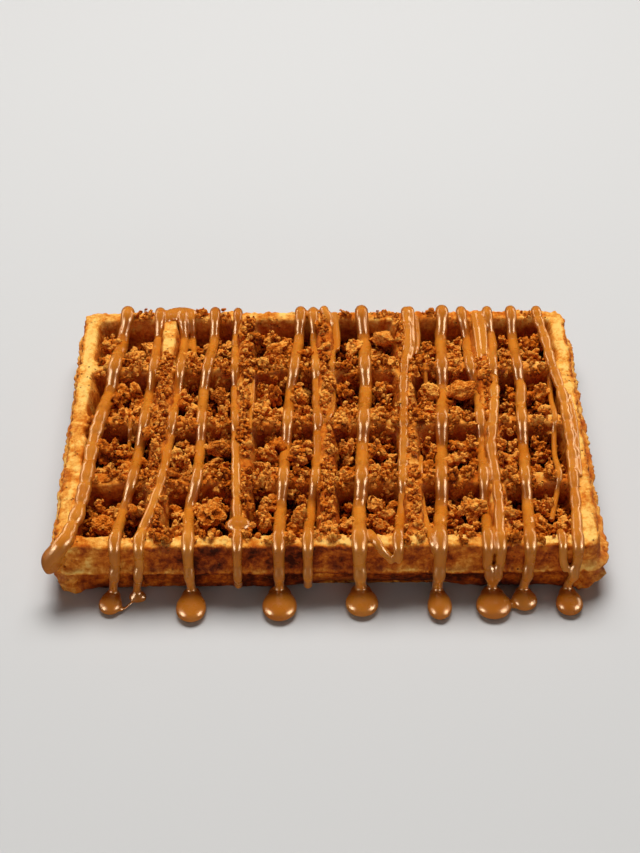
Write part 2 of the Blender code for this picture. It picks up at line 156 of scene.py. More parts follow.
def new_shape_tree(name, inputs):
    """A Geometry Nodes tree with these inputs and a material; returns its helper and its input node."""
    tree = bpy.data.node_groups.new(name, "GeometryNodeTree")
    tree.interface.new_socket("Geometry", in_out="INPUT", socket_type="NodeSocketGeometry")
    tree.interface.new_socket("Geometry", in_out="OUTPUT", socket_type="NodeSocketGeometry")
    for label, kind, value in inputs + (("Material", "Material", None),):
        socket = tree.interface.new_socket(label, in_out="INPUT", socket_type="NodeSocket" + kind)
        if value is not None:
            socket.default_value = value
    helper = Tree(tree)
    return helper, helper.add("NodeGroupInput")


def end_shape_tree(tree, given, geometry):
    """Ends a tree with real geometry in its material."""
    real = tree.add("GeometryNodeRealizeInstances", {"Geometry": geometry})
    dressed = tree.add("GeometryNodeSetMaterial", {"Geometry": real, "Material": given.outputs["Material"]})
    tree.add("NodeGroupOutput", {0: dressed})
    return tree.tree


def grow(obj, tree, values):
    """Runs a tree on an object with the given inputs and keeps the result as a plain mesh."""
    modifier = obj.modifiers.new(tree.name, "NODES")
    modifier.node_group = tree
    for item in tree.interface.items_tree:
        if item.in_out == "INPUT" and item.name in values:
            modifier[item.identifier] = values[item.name]
    return settle(obj)


def settle(obj):
    """Turns an object with modifiers into a plain mesh object of the same name."""
    bpy.context.view_layer.update()
    evaluated = obj.evaluated_get(bpy.context.evaluated_depsgraph_get())
    mesh = bpy.data.meshes.new_from_object(evaluated)
    name = obj.name
    bpy.data.objects.remove(obj)
    mesh.name = name
    return link(name, mesh)


def link(name, data):
    """A linked object that holds a mesh, curve, light or camera."""
    obj = bpy.data.objects.new(name, data)
    bpy.context.scene.collection.objects.link(obj)
    return obj


def mesh_from(name, places, faces, tones=None):
    """A linked mesh from places in millimetres, with a tone for each point."""
    mesh = bpy.data.meshes.new(name)
    mesh.from_pydata((np.asarray(places, dtype=float) * MM).tolist(), [], faces)
    if tones is not None:
        store(mesh, "tone", tones)
    mesh.update()
    return link(name, mesh)


def store(mesh, label, values):
    """Keeps a value for each point of a mesh, for its material or its tree to read."""
    layer = mesh.attributes.new(label, "FLOAT", "POINT")
    layer.data.foreach_set("value", np.asarray(values, dtype=np.float32))


def mesh_of(bm, name):
    """Turns a bmesh into a mesh, and frees it."""
    mesh = bpy.data.meshes.new(name)
    bm.to_mesh(mesh)
    bm.free()
    return mesh


def smooth_faces(obj):
    obj.data.polygons.foreach_set("use_smooth", [True] * len(obj.data.polygons))
    obj.data.update()


def dress(obj, material):
    obj.data.materials.append(material)
    smooth_faces(obj)


# Materials


def new_material(name):
    material = bpy.data.materials.new(name)
    material.use_nodes = True
    return material, Tree(material.node_tree), material.node_tree.nodes["Principled BSDF"]


def place_of(tree):
    return tree.add("ShaderNodeTexCoord").outputs["Object"]


def kept(tree, label):
    """A value that store() keeps on the mesh."""
    return tree.add("ShaderNodeAttribute", attribute_name=label).outputs["Fac"]


def grain(tree, place, scale, detail=4.0, rough=0.6):
    return tree.add("ShaderNodeTexNoise", {"Vector": place, "Scale": scale, "Detail": detail,
                                           "Roughness": rough}).outputs["Fac"]


def pits(tree, place, scale):
    return tree.add("ShaderNodeTexVoronoi", {"Vector": place, "Scale": scale}).outputs["Distance"]


def spread(tree, value, low, high, to_low=0.0, to_high=1.0):
    return tree.add("ShaderNodeMapRange", {"Value": value, "From Min": low, "From Max": high,
                                           "To Min": to_low, "To Max": to_high}).outputs[0]


def patchy(tree, place, scale, low, high, detail=4.0, rough=0.6):
    """A value that goes from low to high in patches."""
    return spread(tree, grain(tree, place, scale, detail, rough), 0.3, 0.7, low, high)


def shades(tree, value, stops):
    """A colour ramp from (place, colour) stops."""
    ramp = tree.add("ShaderNodeValToRGB", {"Fac": value})
    elements = ramp.color_ramp.elements
    elements[0].position, elements[0].color = stops[0]
    elements[1].position, elements[1].color = stops[-1]
    for position, colour in stops[1:-1]:
        elements.new(position).color = colour
    return ramp.outputs["Color"]


def blend_colour(tree, amount, a, b):
    node = tree.add("ShaderNodeMix", data_type="RGBA")
    tree.fill(node, {0: amount, 6: a, 7: b})
    return node.outputs[2]


def bump(tree, height, strength, distance, under=None, invert=False):
    """Fine relief, on top of the relief under it."""
    values = {"Height": height, "Strength": strength, "Distance": distance}
    node = tree.add("ShaderNodeBump", values, invert=invert)
    if under is not None:
        tree.feed(node.inputs["Normal"], under)
    return node


CREAM = linear(246, 196, 104)
PALE_GOLD = linear(232, 158, 66)
GOLD = linear(206, 114, 30)
AMBER = linear(176, 80, 16)
RED_BROWN = linear(128, 46, 8)
DARK_CRUST = linear(64, 18, 4)
PORE_SHADE_BROWN = linear(140, 66, 16)
# Darkest end of the biscuit colours, reached in crevices and gaps: painted shade.
CREVICE_SHADE = linear(42, 7, 0)
CARAMELISED = linear(126, 46, 4)
BISCUIT = linear(208, 106, 22)
# Palest end of the biscuit colours, reached on grain tips: painted light.
PALE_LIT_TIP = linear(252, 174, 74)
DEEP_CARAMEL = linear(188, 104, 20)
LIGHT_CARAMEL = linear(212, 130, 38)


def crust_material():
    """Baked crust: browning from the stored tone, mottled patches, pores painted darker as painted shade in
    the pits, and fine relief.
    """
    material, tree, shader = new_material("baked_crust")
    place = place_of(tree)
    patches = patchy(tree, place, 150.0, -0.36, 0.36, 6.0, 0.72)
    speckle = patchy(tree, place, 700.0, -0.13, 0.13, 3.0, 0.7)
    browned = tree.math("ADD", tree.math("ADD", kept(tree, "tone"), patches), speckle)
    colour = shades(tree, browned, [
        (0.0, CREAM), (0.18, PALE_GOLD), (0.38, GOLD), (0.58, AMBER), (0.78, RED_BROWN), (1.0, DARK_CRUST)])
    # Pores: pits sunk by the bump, with a darker brown painted in them as painted shade.
    pore = spread(tree, pits(tree, place, 480.0), 0.08, 0.20)
    few = spread(tree, grain(tree, place, 140.0, 1.0), 0.50, 0.56, 1.0, 0.0)
    open_pore = tree.math("MAXIMUM", pore, few)
    fine = bump(tree, grain(tree, place, 900.0, 5.0, 0.65), 0.6, 0.0006)
    tree.fill(shader, {
        "Base Color": blend_colour(tree, open_pore, PORE_SHADE_BROWN, colour),
        "Roughness": patchy(tree, place, 260.0, 0.46, 0.66),
        "Specular IOR Level": 0.08,
        "Subsurface Weight": 0.12,
        "Subsurface Radius": (1.0, 0.45, 0.18),
        "Subsurface Scale": 0.0016,
        "Normal": bump(tree, open_pore, 0.9, 0.0005, fine),
    })
    return material


def biscuit_material(name, lightness):
    """Broken caramelised biscuit: each crumb has its own shade, and all are finely grained; grain tips are
    painted paler and crevices darker, as painted light and shade.
    """
    material, tree, shader = new_material(name)
    place = place_of(tree)
    mottle = patchy(tree, place, 520.0, -0.15, 0.15, 4.0, 0.7)
    # Painted light and shade: the stored tip value makes grain tips paler and crevices darker.
    painted_tip_light = spread(tree, kept(tree, "tip"), 0.1, 0.95, lightness - 0.30, lightness + 0.30)
    value = tree.math("ADD", tree.math("ADD", kept(tree, "shade"), mottle), painted_tip_light)
    lumps = bump(tree, pits(tree, place, 1150.0), 0.9, 0.0006, invert=True)
    tree.fill(shader, {
        "Base Color": shades(tree, value, [
            (0.0, CREVICE_SHADE), (0.28, CARAMELISED), (0.6, BISCUIT), (1.0, PALE_LIT_TIP)]),
        "Roughness": 0.82,
        "Specular IOR Level": 0.05,
        "Normal": bump(tree, grain(tree, place, 2400.0, 3.0, 0.7), 0.7, 0.0003, lumps),
    })
    return material


def sauce_material():
    """Caramel sauce: thick, glossy and slightly see-through at thin places."""
    material, tree, shader = new_material("caramel_sauce")
    place = place_of(tree)
    tree.fill(shader, {
        "Base Color": shades(tree, grain(tree, place, 60.0, 3.0, 0.5), [
            (0.3, DEEP_CARAMEL), (0.7, LIGHT_CARAMEL)]),
        "Roughness": patchy(tree, place, 180.0, 0.24, 0.34),
        "Subsurface Weight": 0.25,
        "Subsurface Radius": (1.0, 0.5, 0.2),
        "Subsurface Scale": 0.0012,
        "Coat Weight": 0.5,
        "Coat Roughness": 0.17,
        "Normal": bump(tree, grain(tree, place, 420.0, 2.0), 0.10, 0.0003),
    })
    return material


# Crust


# Lines of the crust's grid, from a rib's middle: those on its top, and where its wall starts and ends
RIB_TOP_LINES = (0.0, 0.5, 1.0, 1.5)
WALL_START = 1.95
WALL_END = 5.6
# Each half of the crust: how far its grid stops inside the edge, corner radius, steps down a wall and
# over a floor, and seed of its noise
UPPER_HALF = (1.4, CORNER_RADIUS - 1.4, (11, 8), 1.0)
LOWER_HALF = (3.6, 2.2, (6, 4), 5.0)


def grid_lines(count, rim_edge, wall_steps, floor_steps):
    """All lines across the waffle in one direction, from one rim edge to the other."""
    half = [*RIB_TOP_LINES, *np.linspace(WALL_START, WALL_END, wall_steps),
            *np.linspace(WALL_END, PITCH / 2, floor_steps + 1)[1:]]
    edge = count * PITCH / 2
    lines = set()
    for rib in range(count + 1):
        centre = (rib - count / 2) * PITCH
        for away in half:
            for sign in (-1, 1):
                at = round(centre + sign * away, 4)
                if abs(at) <= edge + 1e-6:
                    lines.add(at)
    for step in range(1, 5):
        at = round(edge + (rim_edge - edge) * step / 4, 4)
        lines.update((at, -at))
    return np.array(sorted(lines))


def round_corner(x, y, half_x, half_y, radius):
    """Bends the square corners of a grid into round ones."""
    corner_x, corner_y = half_x - radius, half_y - radius
    p = np.abs(x) - corner_x
    q = np.abs(y) - corner_y
    corner = (p > 0) & (q > 0)
    p = np.where(corner, p, 0.0)
    q = np.where(corner, q, 0.0)
    new_p = p * np.sqrt(np.clip(1 - q * q / (2 * radius * radius), 0, 1))
    new_q = q * np.sqrt(np.clip(1 - p * p / (2 * radius * radius), 0, 1))
    return (np.where(corner, np.sign(x) * (corner_x + new_p), x),
            np.where(corner, np.sign(y) * (corner_y + new_q), y))


def noise_at(x, y, scale, seed):
    """Smooth noise over flat arrays of places."""
    values = [wave(a * scale, b * scale, 0.0, seed) for a, b in zip(x.ravel(), y.ravel())]
    return np.array(values).reshape(x.shape)


def well_reach(x, y, seed):
    """How far inside its well's top edge each place is, in millimetres: below 0 on a rib or rim."""
    wander = noise_at(x, y, 0.085, seed) * 0.5 + noise_at(x, y, 0.32, seed + 1) * 0.42
    across_x = np.abs(np.mod(x + GRID_X, PITCH) - PITCH / 2)
    across_y = np.abs(np.mod(y + GRID_Y, PITCH) - PITCH / 2)
    a = HALF_WELL - across_x + wander
    b = HALF_WELL - across_y + wander
    outside = (np.abs(x) > GRID_X) | (np.abs(y) > GRID_Y)
    gap = np.clip(WELL_CORNER - np.abs(a - b), 0.0, None) / WELL_CORNER
    reach = np.minimum(a, b) - gap * gap * WELL_CORNER * 0.25
    return np.where(outside, -RIB_HALF, reach)


# Profile of each half's side, from the top down: millimetres out from the edge, and height
UPPER_SIDE = (
    (-1.00, 20.97), (-0.65, 20.86), (-0.35, 20.6), (-0.12, 20.2), (0.0, 19.6), (0.05, 18.9), (0.1, 18.2),
    (0.1, 17.5), (0.1, 16.8), (0.1, 16.1), (0.1, 15.4), (0.15, 14.7), (0.25, 14.0), (0.4, 13.4),
    (0.65, 12.7), (1.05, 12.2), (1.6, 11.8), (2.2, 11.5), (2.7, 11.15), (2.95, 10.75), (2.9, 10.3),
    (2.5, 9.9), (1.9, 9.65), (1.1, 9.5), (0.2, 9.4), (-1.2, 9.35),
)
LOWER_SIDE = (
    (-1.6, 10.3), (-0.3, 9.6), (-0.25, 8.8), (-0.3, 8.0), (-0.35, 7.2), (-0.4, 6.4), (-0.5, 5.6),
    (-0.6, 4.8), (-0.7, 4.0), (-0.85, 3.2), (-1.0, 2.4), (-1.25, 1.6), (-1.6, 0.9), (-2.2, 0.35),
    (-3.0, 0.08),
)
# Heights of the side's crest, of the lip at its seam, and of the pale line over that
CREST_Z = 20.3
LIP_Z = 10.9
PALE_LINE_Z = 11.2
# Waves of the side, broad, middling and small: scale round it, scale up it, and seed; and the radius of
# the ring on which they are read, against the way round
SIDE_WAVES = ((0.09, 0.10, 21), (0.30, 0.28, 23), (0.9, 0.8, 25))
WAVE_RING = 0.16
# How far the seam stands out on each side, against the profile
SEAM_OUT = {"left": 1.0, "right": 1.25, "front": 0.5, "rear": 0.7}
# Paler and browner stretches of the front face: x, half width and change of tone
FRONT_SHADES = ((-85.0, 9.0, -0.38), (-66.0, 13.0, -0.16), (-39.0, 9.0, 0.24), (-6.0, 13.0, 0.22),
                (21.0, 5.0, -0.04), (40.0, 6.0, -0.12), (85.0, 6.0, -0.24))


def crust_tone(x, y, reach, seed):
    """Tone of a face of the crust, from 0, pale, to 1, dark: its rib tops, its walls and its floors. The
    walls and floors are darker, deepest in the wells, partly browning and partly painted shade; the rear
    rim's inner wall, facing forward, is painted paler, as painted light.
    """
    inner = ease(0.0, 5.0, GRID_X - np.abs(x)) * ease(0.0, 5.0, GRID_Y - np.abs(y))
    middle = 1.0 - ease(50.0, 70.0, np.abs(x))
    left = ease(-57.0, -61.0, x)
    bare_rib = ease(3.5, 1.5, np.abs(x + 2 * PITCH)) * ease(28.0, 36.0, y)
    front_rim = ease(-52.0, -55.0, y) * ease(66.0, 58.0, x)
    left_rim = ease(-83.0, -85.0, x) * ease(20.0, 0.0, y)
    rear_rim = ease(53.0, 56.0, y) * (0.09 + 0.22 * ease(-6.0, 2.0, x) * ease(74.0, 66.0, x))
    top = 0.07 + inner * (0.20 + 0.12 * middle + 0.10 * left - 0.34 * bare_rib)
    top = top + 0.10 * front_rim + 0.09 * left_rim + rear_rim
    wall = ease(-0.9, 1.2, reach)
    # Walls: darker than the tops, partly browning and partly painted shade; the rear rim's inner wall, which
    # faces forward, is 0.12 paler as painted light.
    tone = top * (1 - wall) + (0.46 - 0.12 * ease(50.0, 52.0, y)) * wall
    # Darker still deep in the wells, towards their floors: painted shade in the recesses.
    return tone + 0.34 * ease(0.6, 3.6, reach) + noise_at(x, y, 0.05, seed + 11) * 0.08


def build_half(upper):
    """Half of the crust: its gridded face, its side down or up to the seam, and a cap inside the seam."""
    inset, radius, steps, seed = UPPER_HALF if upper else LOWER_HALF
    edge_x = HALF_X - inset
    edge_y = HALF_Y - inset
    lines = grid_lines if upper else clipped_lines
    x, y = np.meshgrid(lines(COLUMNS, edge_x, *steps), lines(ROWS, edge_y, *steps))
    x, y = round_corner(x, y, edge_x, edge_y, radius)
    reach = well_reach(x, y, seed)
    tone = crust_tone(x, y, reach, seed)
    z = WELL_DEPTH * ease(-0.8, WELL_DRAFT + 0.4, reach)
    if upper:
        swell = noise_at(x, y, 0.06, seed + 7) * 0.30 + noise_at(x, y, 0.22, seed + 8) * 0.26
        bumps = noise_at(x, y, 0.75, seed + 9) * (0.20 + 0.22 * ease(-52.0, -54.0, y))
        rib_crown = np.clip(1.0 - np.abs(reach + RIB_HALF) / RIB_HALF, 0, 1) * 0.25
        at_edge = ease(0.0, 2.5, np.minimum(edge_x - np.abs(x), edge_y - np.abs(y)))
        z = HEIGHT - z + (swell + bumps + rib_crown) * at_edge
    index = np.arange(x.size).reshape(x.shape)
    corners = np.stack([index[:-1, :-1], index[:-1, 1:], index[1:, 1:], index[1:, :-1]], axis=-1)
    corners = corners.reshape(-1, 4)
    if not upper:
        corners = corners[:, ::-1]
        # The underside is painted 0.16 darker than the top face: painted shade under the waffle.
        tone = tone + 0.16
    places = np.stack([x.ravel(), y.ravel(), z.ravel()], axis=-1)
    rim = np.concatenate([index[0, :-1], index[:-1, -1], index[-1, :0:-1], index[:0:-1, 0]])
    places, tones, sides = add_side(places, tone.ravel(), rim, upper)
    return places, tones, corners.tolist() + sides


def clipped_lines(count, edge, wall_steps, floor_steps):
    """Grid lines for the smaller underside: those of the grid that fall inside its edge."""
    lines = grid_lines(count, edge + LOWER_HALF[0], wall_steps, floor_steps)
    lines = lines[np.abs(lines) < edge - 0.3]
    return np.concatenate([[-edge], lines, [edge]])


def outward(points, edge_x, edge_y, radius):
    """Outward direction in plan at each point of a rounded rectangle."""
    p = np.clip(np.abs(points[:, 0]) - (edge_x - radius), 0, None)
    q = np.clip(np.abs(points[:, 1]) - (edge_y - radius), 0, None)
    straight_x = q <= 1e-6
    straight_y = p <= 1e-6
    nx = np.where(straight_x, 1.0, np.where(straight_y, 0.0, p))
    ny = np.where(straight_x, 0.0, np.where(straight_y, 1.0, q))
    length = np.hypot(nx, ny)
    return np.stack([np.sign(points[:, 0]) * nx / length, np.sign(points[:, 1]) * ny / length], axis=-1)


# Bulges of the lower half at its two front corners, where batter ran out of the iron: x and size, and
# the y and the width that they share
CORNER_KNOBS = ((-82.0, 1.0), (83.0, 1.2))
KNOB_Y = -56.0
KNOB_WIDTH = 5.5


def corner_knob(x, y):
    return sum(size * bell(math.hypot(x - at, y - KNOB_Y), 0.0, KNOB_WIDTH) for at, size in CORNER_KNOBS)


def side_share(way):
    """How far the seam stands out where the side faces this way."""
    across = SEAM_OUT["right"] if way[0] > 0 else SEAM_OUT["left"]
    along = SEAM_OUT["rear"] if way[1] > 0 else SEAM_OUT["front"]
    return across * way[0] ** 2 + along * way[1] ** 2


def middle_scoop(point):
    """Where the foot of the front draws back, a little right of the middle."""
    if point[1] > -50.0:
        return 0.0
    return float(ease(-16.0, 2.0, point[0]) * ease(46.0, 34.0, point[0]))


def side_point(point, way, out, z, waves, upper, knob):
    """Where a point of the side lies: the profile, uneven, with its crest and its lip at the seam."""
    broad, mid, small = waves
    lip = bell(z, LIP_Z, 0.9) if upper else 0.0
    crest = bell(z, CREST_Z, 0.9) if upper else 0.0
    move = 0.22 * broad + 0.20 * mid + 0.24 * small
    if upper and out > 0.4:
        move += (out - 0.4) * (side_share(way) - 1.0)
    if not upper:
        move -= 2.2 * middle_scoop(point) * ease(7.0, 0.5, z)
    move += lip * (0.22 * broad + 0.22 * mid + 0.20 * small - 0.12)
    move += crest * (0.24 * max(mid, -0.4) + 0.30 * small)
    swell = math.sin(min(max(z / 9.0, 0.0), 1.0) * math.pi)
    move += knob * (1.0 + 1.3 * swell + 0.9 * mid + 1.3 * small)
    lift = 0.0
    if upper and 9.6 < z < 13.0:
        lift = 0.12 * mid + 0.10 * small
    if upper and z > 19.0:
        lift = crest * 0.45 * mid + 0.12 * small
    away = (UPPER_HALF if upper else LOWER_HALF)[0] + out + move
    return point[0] + way[0] * away, point[1] + way[1] * away, max(z + lift, 0.0)


def add_side(places, tones, rim, upper):
    """Adds the rings of the side and the cap to one half of the crust."""
    inset, radius = (UPPER_HALF if upper else LOWER_HALF)[:2]
    profile = UPPER_SIDE if upper else LOWER_SIDE[::-1]
    base = places[rim]
    ways = outward(base, HALF_X - inset, HALF_Y - inset, radius)
    step = np.hypot(*np.diff(np.vstack([base, base[:1]])[:, :2], axis=0).T)
    total = step.sum()
    turn = np.concatenate([[0.0], np.cumsum(step)[:-1]]) / total * 2 * math.pi
    ring_x = np.cos(turn) * total * WAVE_RING
    ring_y = np.sin(turn) * total * WAVE_RING
    all_places = [places]
    all_tones = [tones]
    faces = []

    def face(*corners):
        faces.append(corners if upper else corners[::-1])

    previous = rim.tolist()
    start = len(places)
    for out, z in profile:
        ring = []
        for point, way, a, b in zip(base, ways, ring_x, ring_y):
            waves = [wave(a * across, b * across, z * up, seed) for across, up, seed in SIDE_WAVES]
            knob = 0.0 if upper else corner_knob(point[0], point[1])
            ring.append((*side_point(point, way, out, z, waves, upper, knob),
                         side_tone(point, z, waves, upper, knob)))
        all_places.append(np.array(ring)[:, :3])
        all_tones.append(np.array(ring)[:, 3])
        ids = list(range(start, start + len(ring)))
        start += len(ring)
        for a, b, c, d in zip(previous, ids, ids[1:] + ids[:1], previous[1:] + previous[:1]):
            face(a, b, c, d)
        previous = ids
    all_places.append(np.array([[0.0, 0.0, profile[-1][1]]]))
    all_tones.append(np.array([0.8]))
    for a, b in zip(previous, previous[1:] + previous[:1]):
        face(a, start, b)
    return np.vstack(all_places), np.concatenate(all_tones), faces


def side_tone(point, z, waves, upper, knob):
    """Tone of the side: pale crest and seam, mottled face, a darker front face as painted shade, painted
    shade under the lip, and a darker lower half as painted shade under the upper half.
    """
    broad, mid, small = waves
    if upper:
        front = point[1] < -HALF_Y + 4.0
        # The front face is darker than the other sides: painted shade on the face turned from the light.
        face = (0.62 if front else 0.44) + 0.08 * broad + 0.08 * mid + 0.06 * small
        if front:
            face += sum(amount * bell(point[0], at, width) for at, width, amount in FRONT_SHADES)
            face -= 0.08 * ease(16.0, 12.5, z)
        crest = ease(CREST_Z, HEIGHT, z + 0.35 * mid)
        seam = bell(z, PALE_LINE_Z, 0.55)
        # Painted shade under the lip at the seam, added to the tone below it.
        under = ease(10.8, 9.8, z) if z < 10.8 else 0.0
        tone = face * (1 - crest) + (0.24 + 0.12 * small) * crest
        tone -= 0.30 * seam * (0.6 + 0.6 * small)
        return tone + 0.25 * under
    # The lower half is darker, most of all at the front: painted shade under the upper half and on the front
    # face.
    tone = (0.78 if point[1] < -HALF_Y + 6.0 else 0.52) + 0.14 * broad + 0.10 * mid + 0.06 * small
    return tone - 0.42 * min(knob, 1.0) * (0.7 + 0.6 * mid)


def crust_relief_tree():
    """Raises blisters and sinks pores over a crust, along its own faces, and darkens the stored tone in the
    sunk pores as painted shade.
    """
    tree, given = new_shape_tree("crust_relief", (
        ("Blister height", "Float", 0.00045),
        ("Blister scale", "Float", 330.0),
        ("Pore depth", "Float", 0.0004),
        ("Pore scale", "Float", 300.0),
        ("Seed", "Float", 0.0),
    ))
    place = tree.add("GeometryNodeInputPosition")
    normal = tree.add("GeometryNodeInputNormal")
    shifted = tree.add("ShaderNodeVectorMath", {0: place, 1: given.outputs["Seed"]}, operation="ADD")
    blister = tree.add("ShaderNodeTexNoise", {"Vector": shifted, "Scale": given.outputs["Blister scale"],
                                              "Detail": 3.0, "Roughness": 0.62})
    cell = tree.add("ShaderNodeTexVoronoi", {"Vector": shifted, "Scale": given.outputs["Pore scale"]})
    gate = tree.add("ShaderNodeTexNoise", {"Vector": shifted, "Scale": 70.0, "Detail": 1.0})
    pore = tree.add("ShaderNodeMapRange", {"Value": cell.outputs["Distance"], "From Min": 0.08,
                                           "From Max": 0.24, "To Min": 1.0, "To Max": 0.0},
                    interpolation_type="SMOOTHSTEP")
    few = spread(tree, gate, 0.50, 0.56)
    sink = tree.math("MULTIPLY", tree.math("MULTIPLY", pore, few), given.outputs["Pore depth"])
    rise = tree.math("MULTIPLY", tree.math("SUBTRACT", blister, 0.5), given.outputs["Blister height"])
    move = tree.math("SUBTRACT", tree.math("MULTIPLY", rise, 2.0), sink)
    offset = tree.add("ShaderNodeVectorMath", {0: normal, "Scale": move}, operation="SCALE")
    moved = tree.add("GeometryNodeSetPosition", {"Geometry": given, "Offset": offset})
    # Painted shade: the stored tone is made darker where a pore sinks.
    old_tone = tree.add("GeometryNodeInputNamedAttribute", {"Name": "tone"}, data_type="FLOAT")
    pore_shaded_tone = tree.math("ADD", old_tone, tree.math("MULTIPLY", sink, 500.0))
    stored = tree.add("GeometryNodeStoreNamedAttribute", {"Geometry": moved, "Name": "tone", "Value": pore_shaded_tone},
                      data_type="FLOAT", domain="POINT")
    return end_shape_tree(tree, given, tree.add("GeometryNodeSetShadeSmooth", {"Geometry": stored}))


def build_crust(material):
    tree = crust_relief_tree()
    pieces = []
    for name, upper, seed in (("crust_upper_half", True, 0.2), ("crust_lower_half", False, 0.7)):
        places, tones, faces = build_half(upper)
        body = mesh_from(name, places, faces, tones)
        pieces.append(grow(body, tree, {"Seed": seed, "Material": material}))
    return pieces


# Sauce

# Strands cross nine lines, half a pitch apart, from the rear rim to the front one: width, foot, and x on
# each line
FIRST_CROSSING = GRID_Y
CROSSING_STEP = PITCH / 2
STRANDS = {
    "s01": (4.7, "corner", (-71.8, -72.5, -74.2, -74.8, -77.3, -78.5, -79.2, -80.2, -83.1)),
    "s02": (3.7, "drop_1", (-60.0, -59.6, -60.5, -60.8, -62.1, -62.6, -64.0, -65.6, -67.6)),
    "s03": (3.4, "drop_2", (-51.7, -50.3, -51.0, -51.3, -52.5, -53.1, -54.4, -56.9, -59.9)),
    "s04": (3.8, "drop_3", (-39.9, -39.6, -41.5, -42.2, -42.4, -42.3, -42.8, -44.6, -44.4)),
    "s05": (3.2, "low_end", (-31.6, -31.7, -31.8, -31.4, -31.0, -30.5, -29.9, -29.3, -28.8)),
    "s07": (4.0, "drop_4", (-8.7, -9.4, -10.9, -12.1, -13.1, -13.7, -14.4, -15.1, -15.6)),
    "s08": (3.5, "low_end", (-4.1, -3.6, -3.3, -3.0, -2.9, -3.0, -3.8, -5.2, -6.4)),
    "s10": (4.7, "drop_5", (13.5, 14.0, 14.0, 13.9, 12.9, 12.1, 11.5, 10.3, 10.0)),
    "s11": (3.4, "mid_end", (29.7, 29.7, 28.0, 27.1, 26.5, 25.8, 25.0, 24.2, 22.3)),
    "s13": (4.5, "drop_6", (42.9, 41.5, 41.1, 40.5, 39.5, 38.6, 37.8, 36.9, 35.6)),
    "s14": (3.6, "drop_7", (49.9, 50.9, 51.0, 52.6, 52.6, 52.3, 51.7, 51.2, 50.8)),
    "s15": (3.6, "drop_7", (59.4, 59.7, 59.1, 58.5, 57.0, 55.3, 55.6, 55.5, 54.8)),
    "s16": (3.9, "drop_8", (68.0, 67.2, 67.7, 67.4, 66.8, 66.0, 65.4, 64.8, 64.2)),
    "s17": (3.6, "drop_9", (77.4, 79.0, 79.9, 81.8, 82.1, 82.0, 81.2, 80.4, 79.3)),
}
SAUCE_GROUPS = {
    "sauce_left": ("s01", "s02", "s03"),
    "sauce_mid_left": ("s04", "s05", "s07", "s08"),
    "sauce_mid_right": ("s10", "s11", "s13"),
    "sauce_right": ("s14", "s15", "s16", "s17"),
}
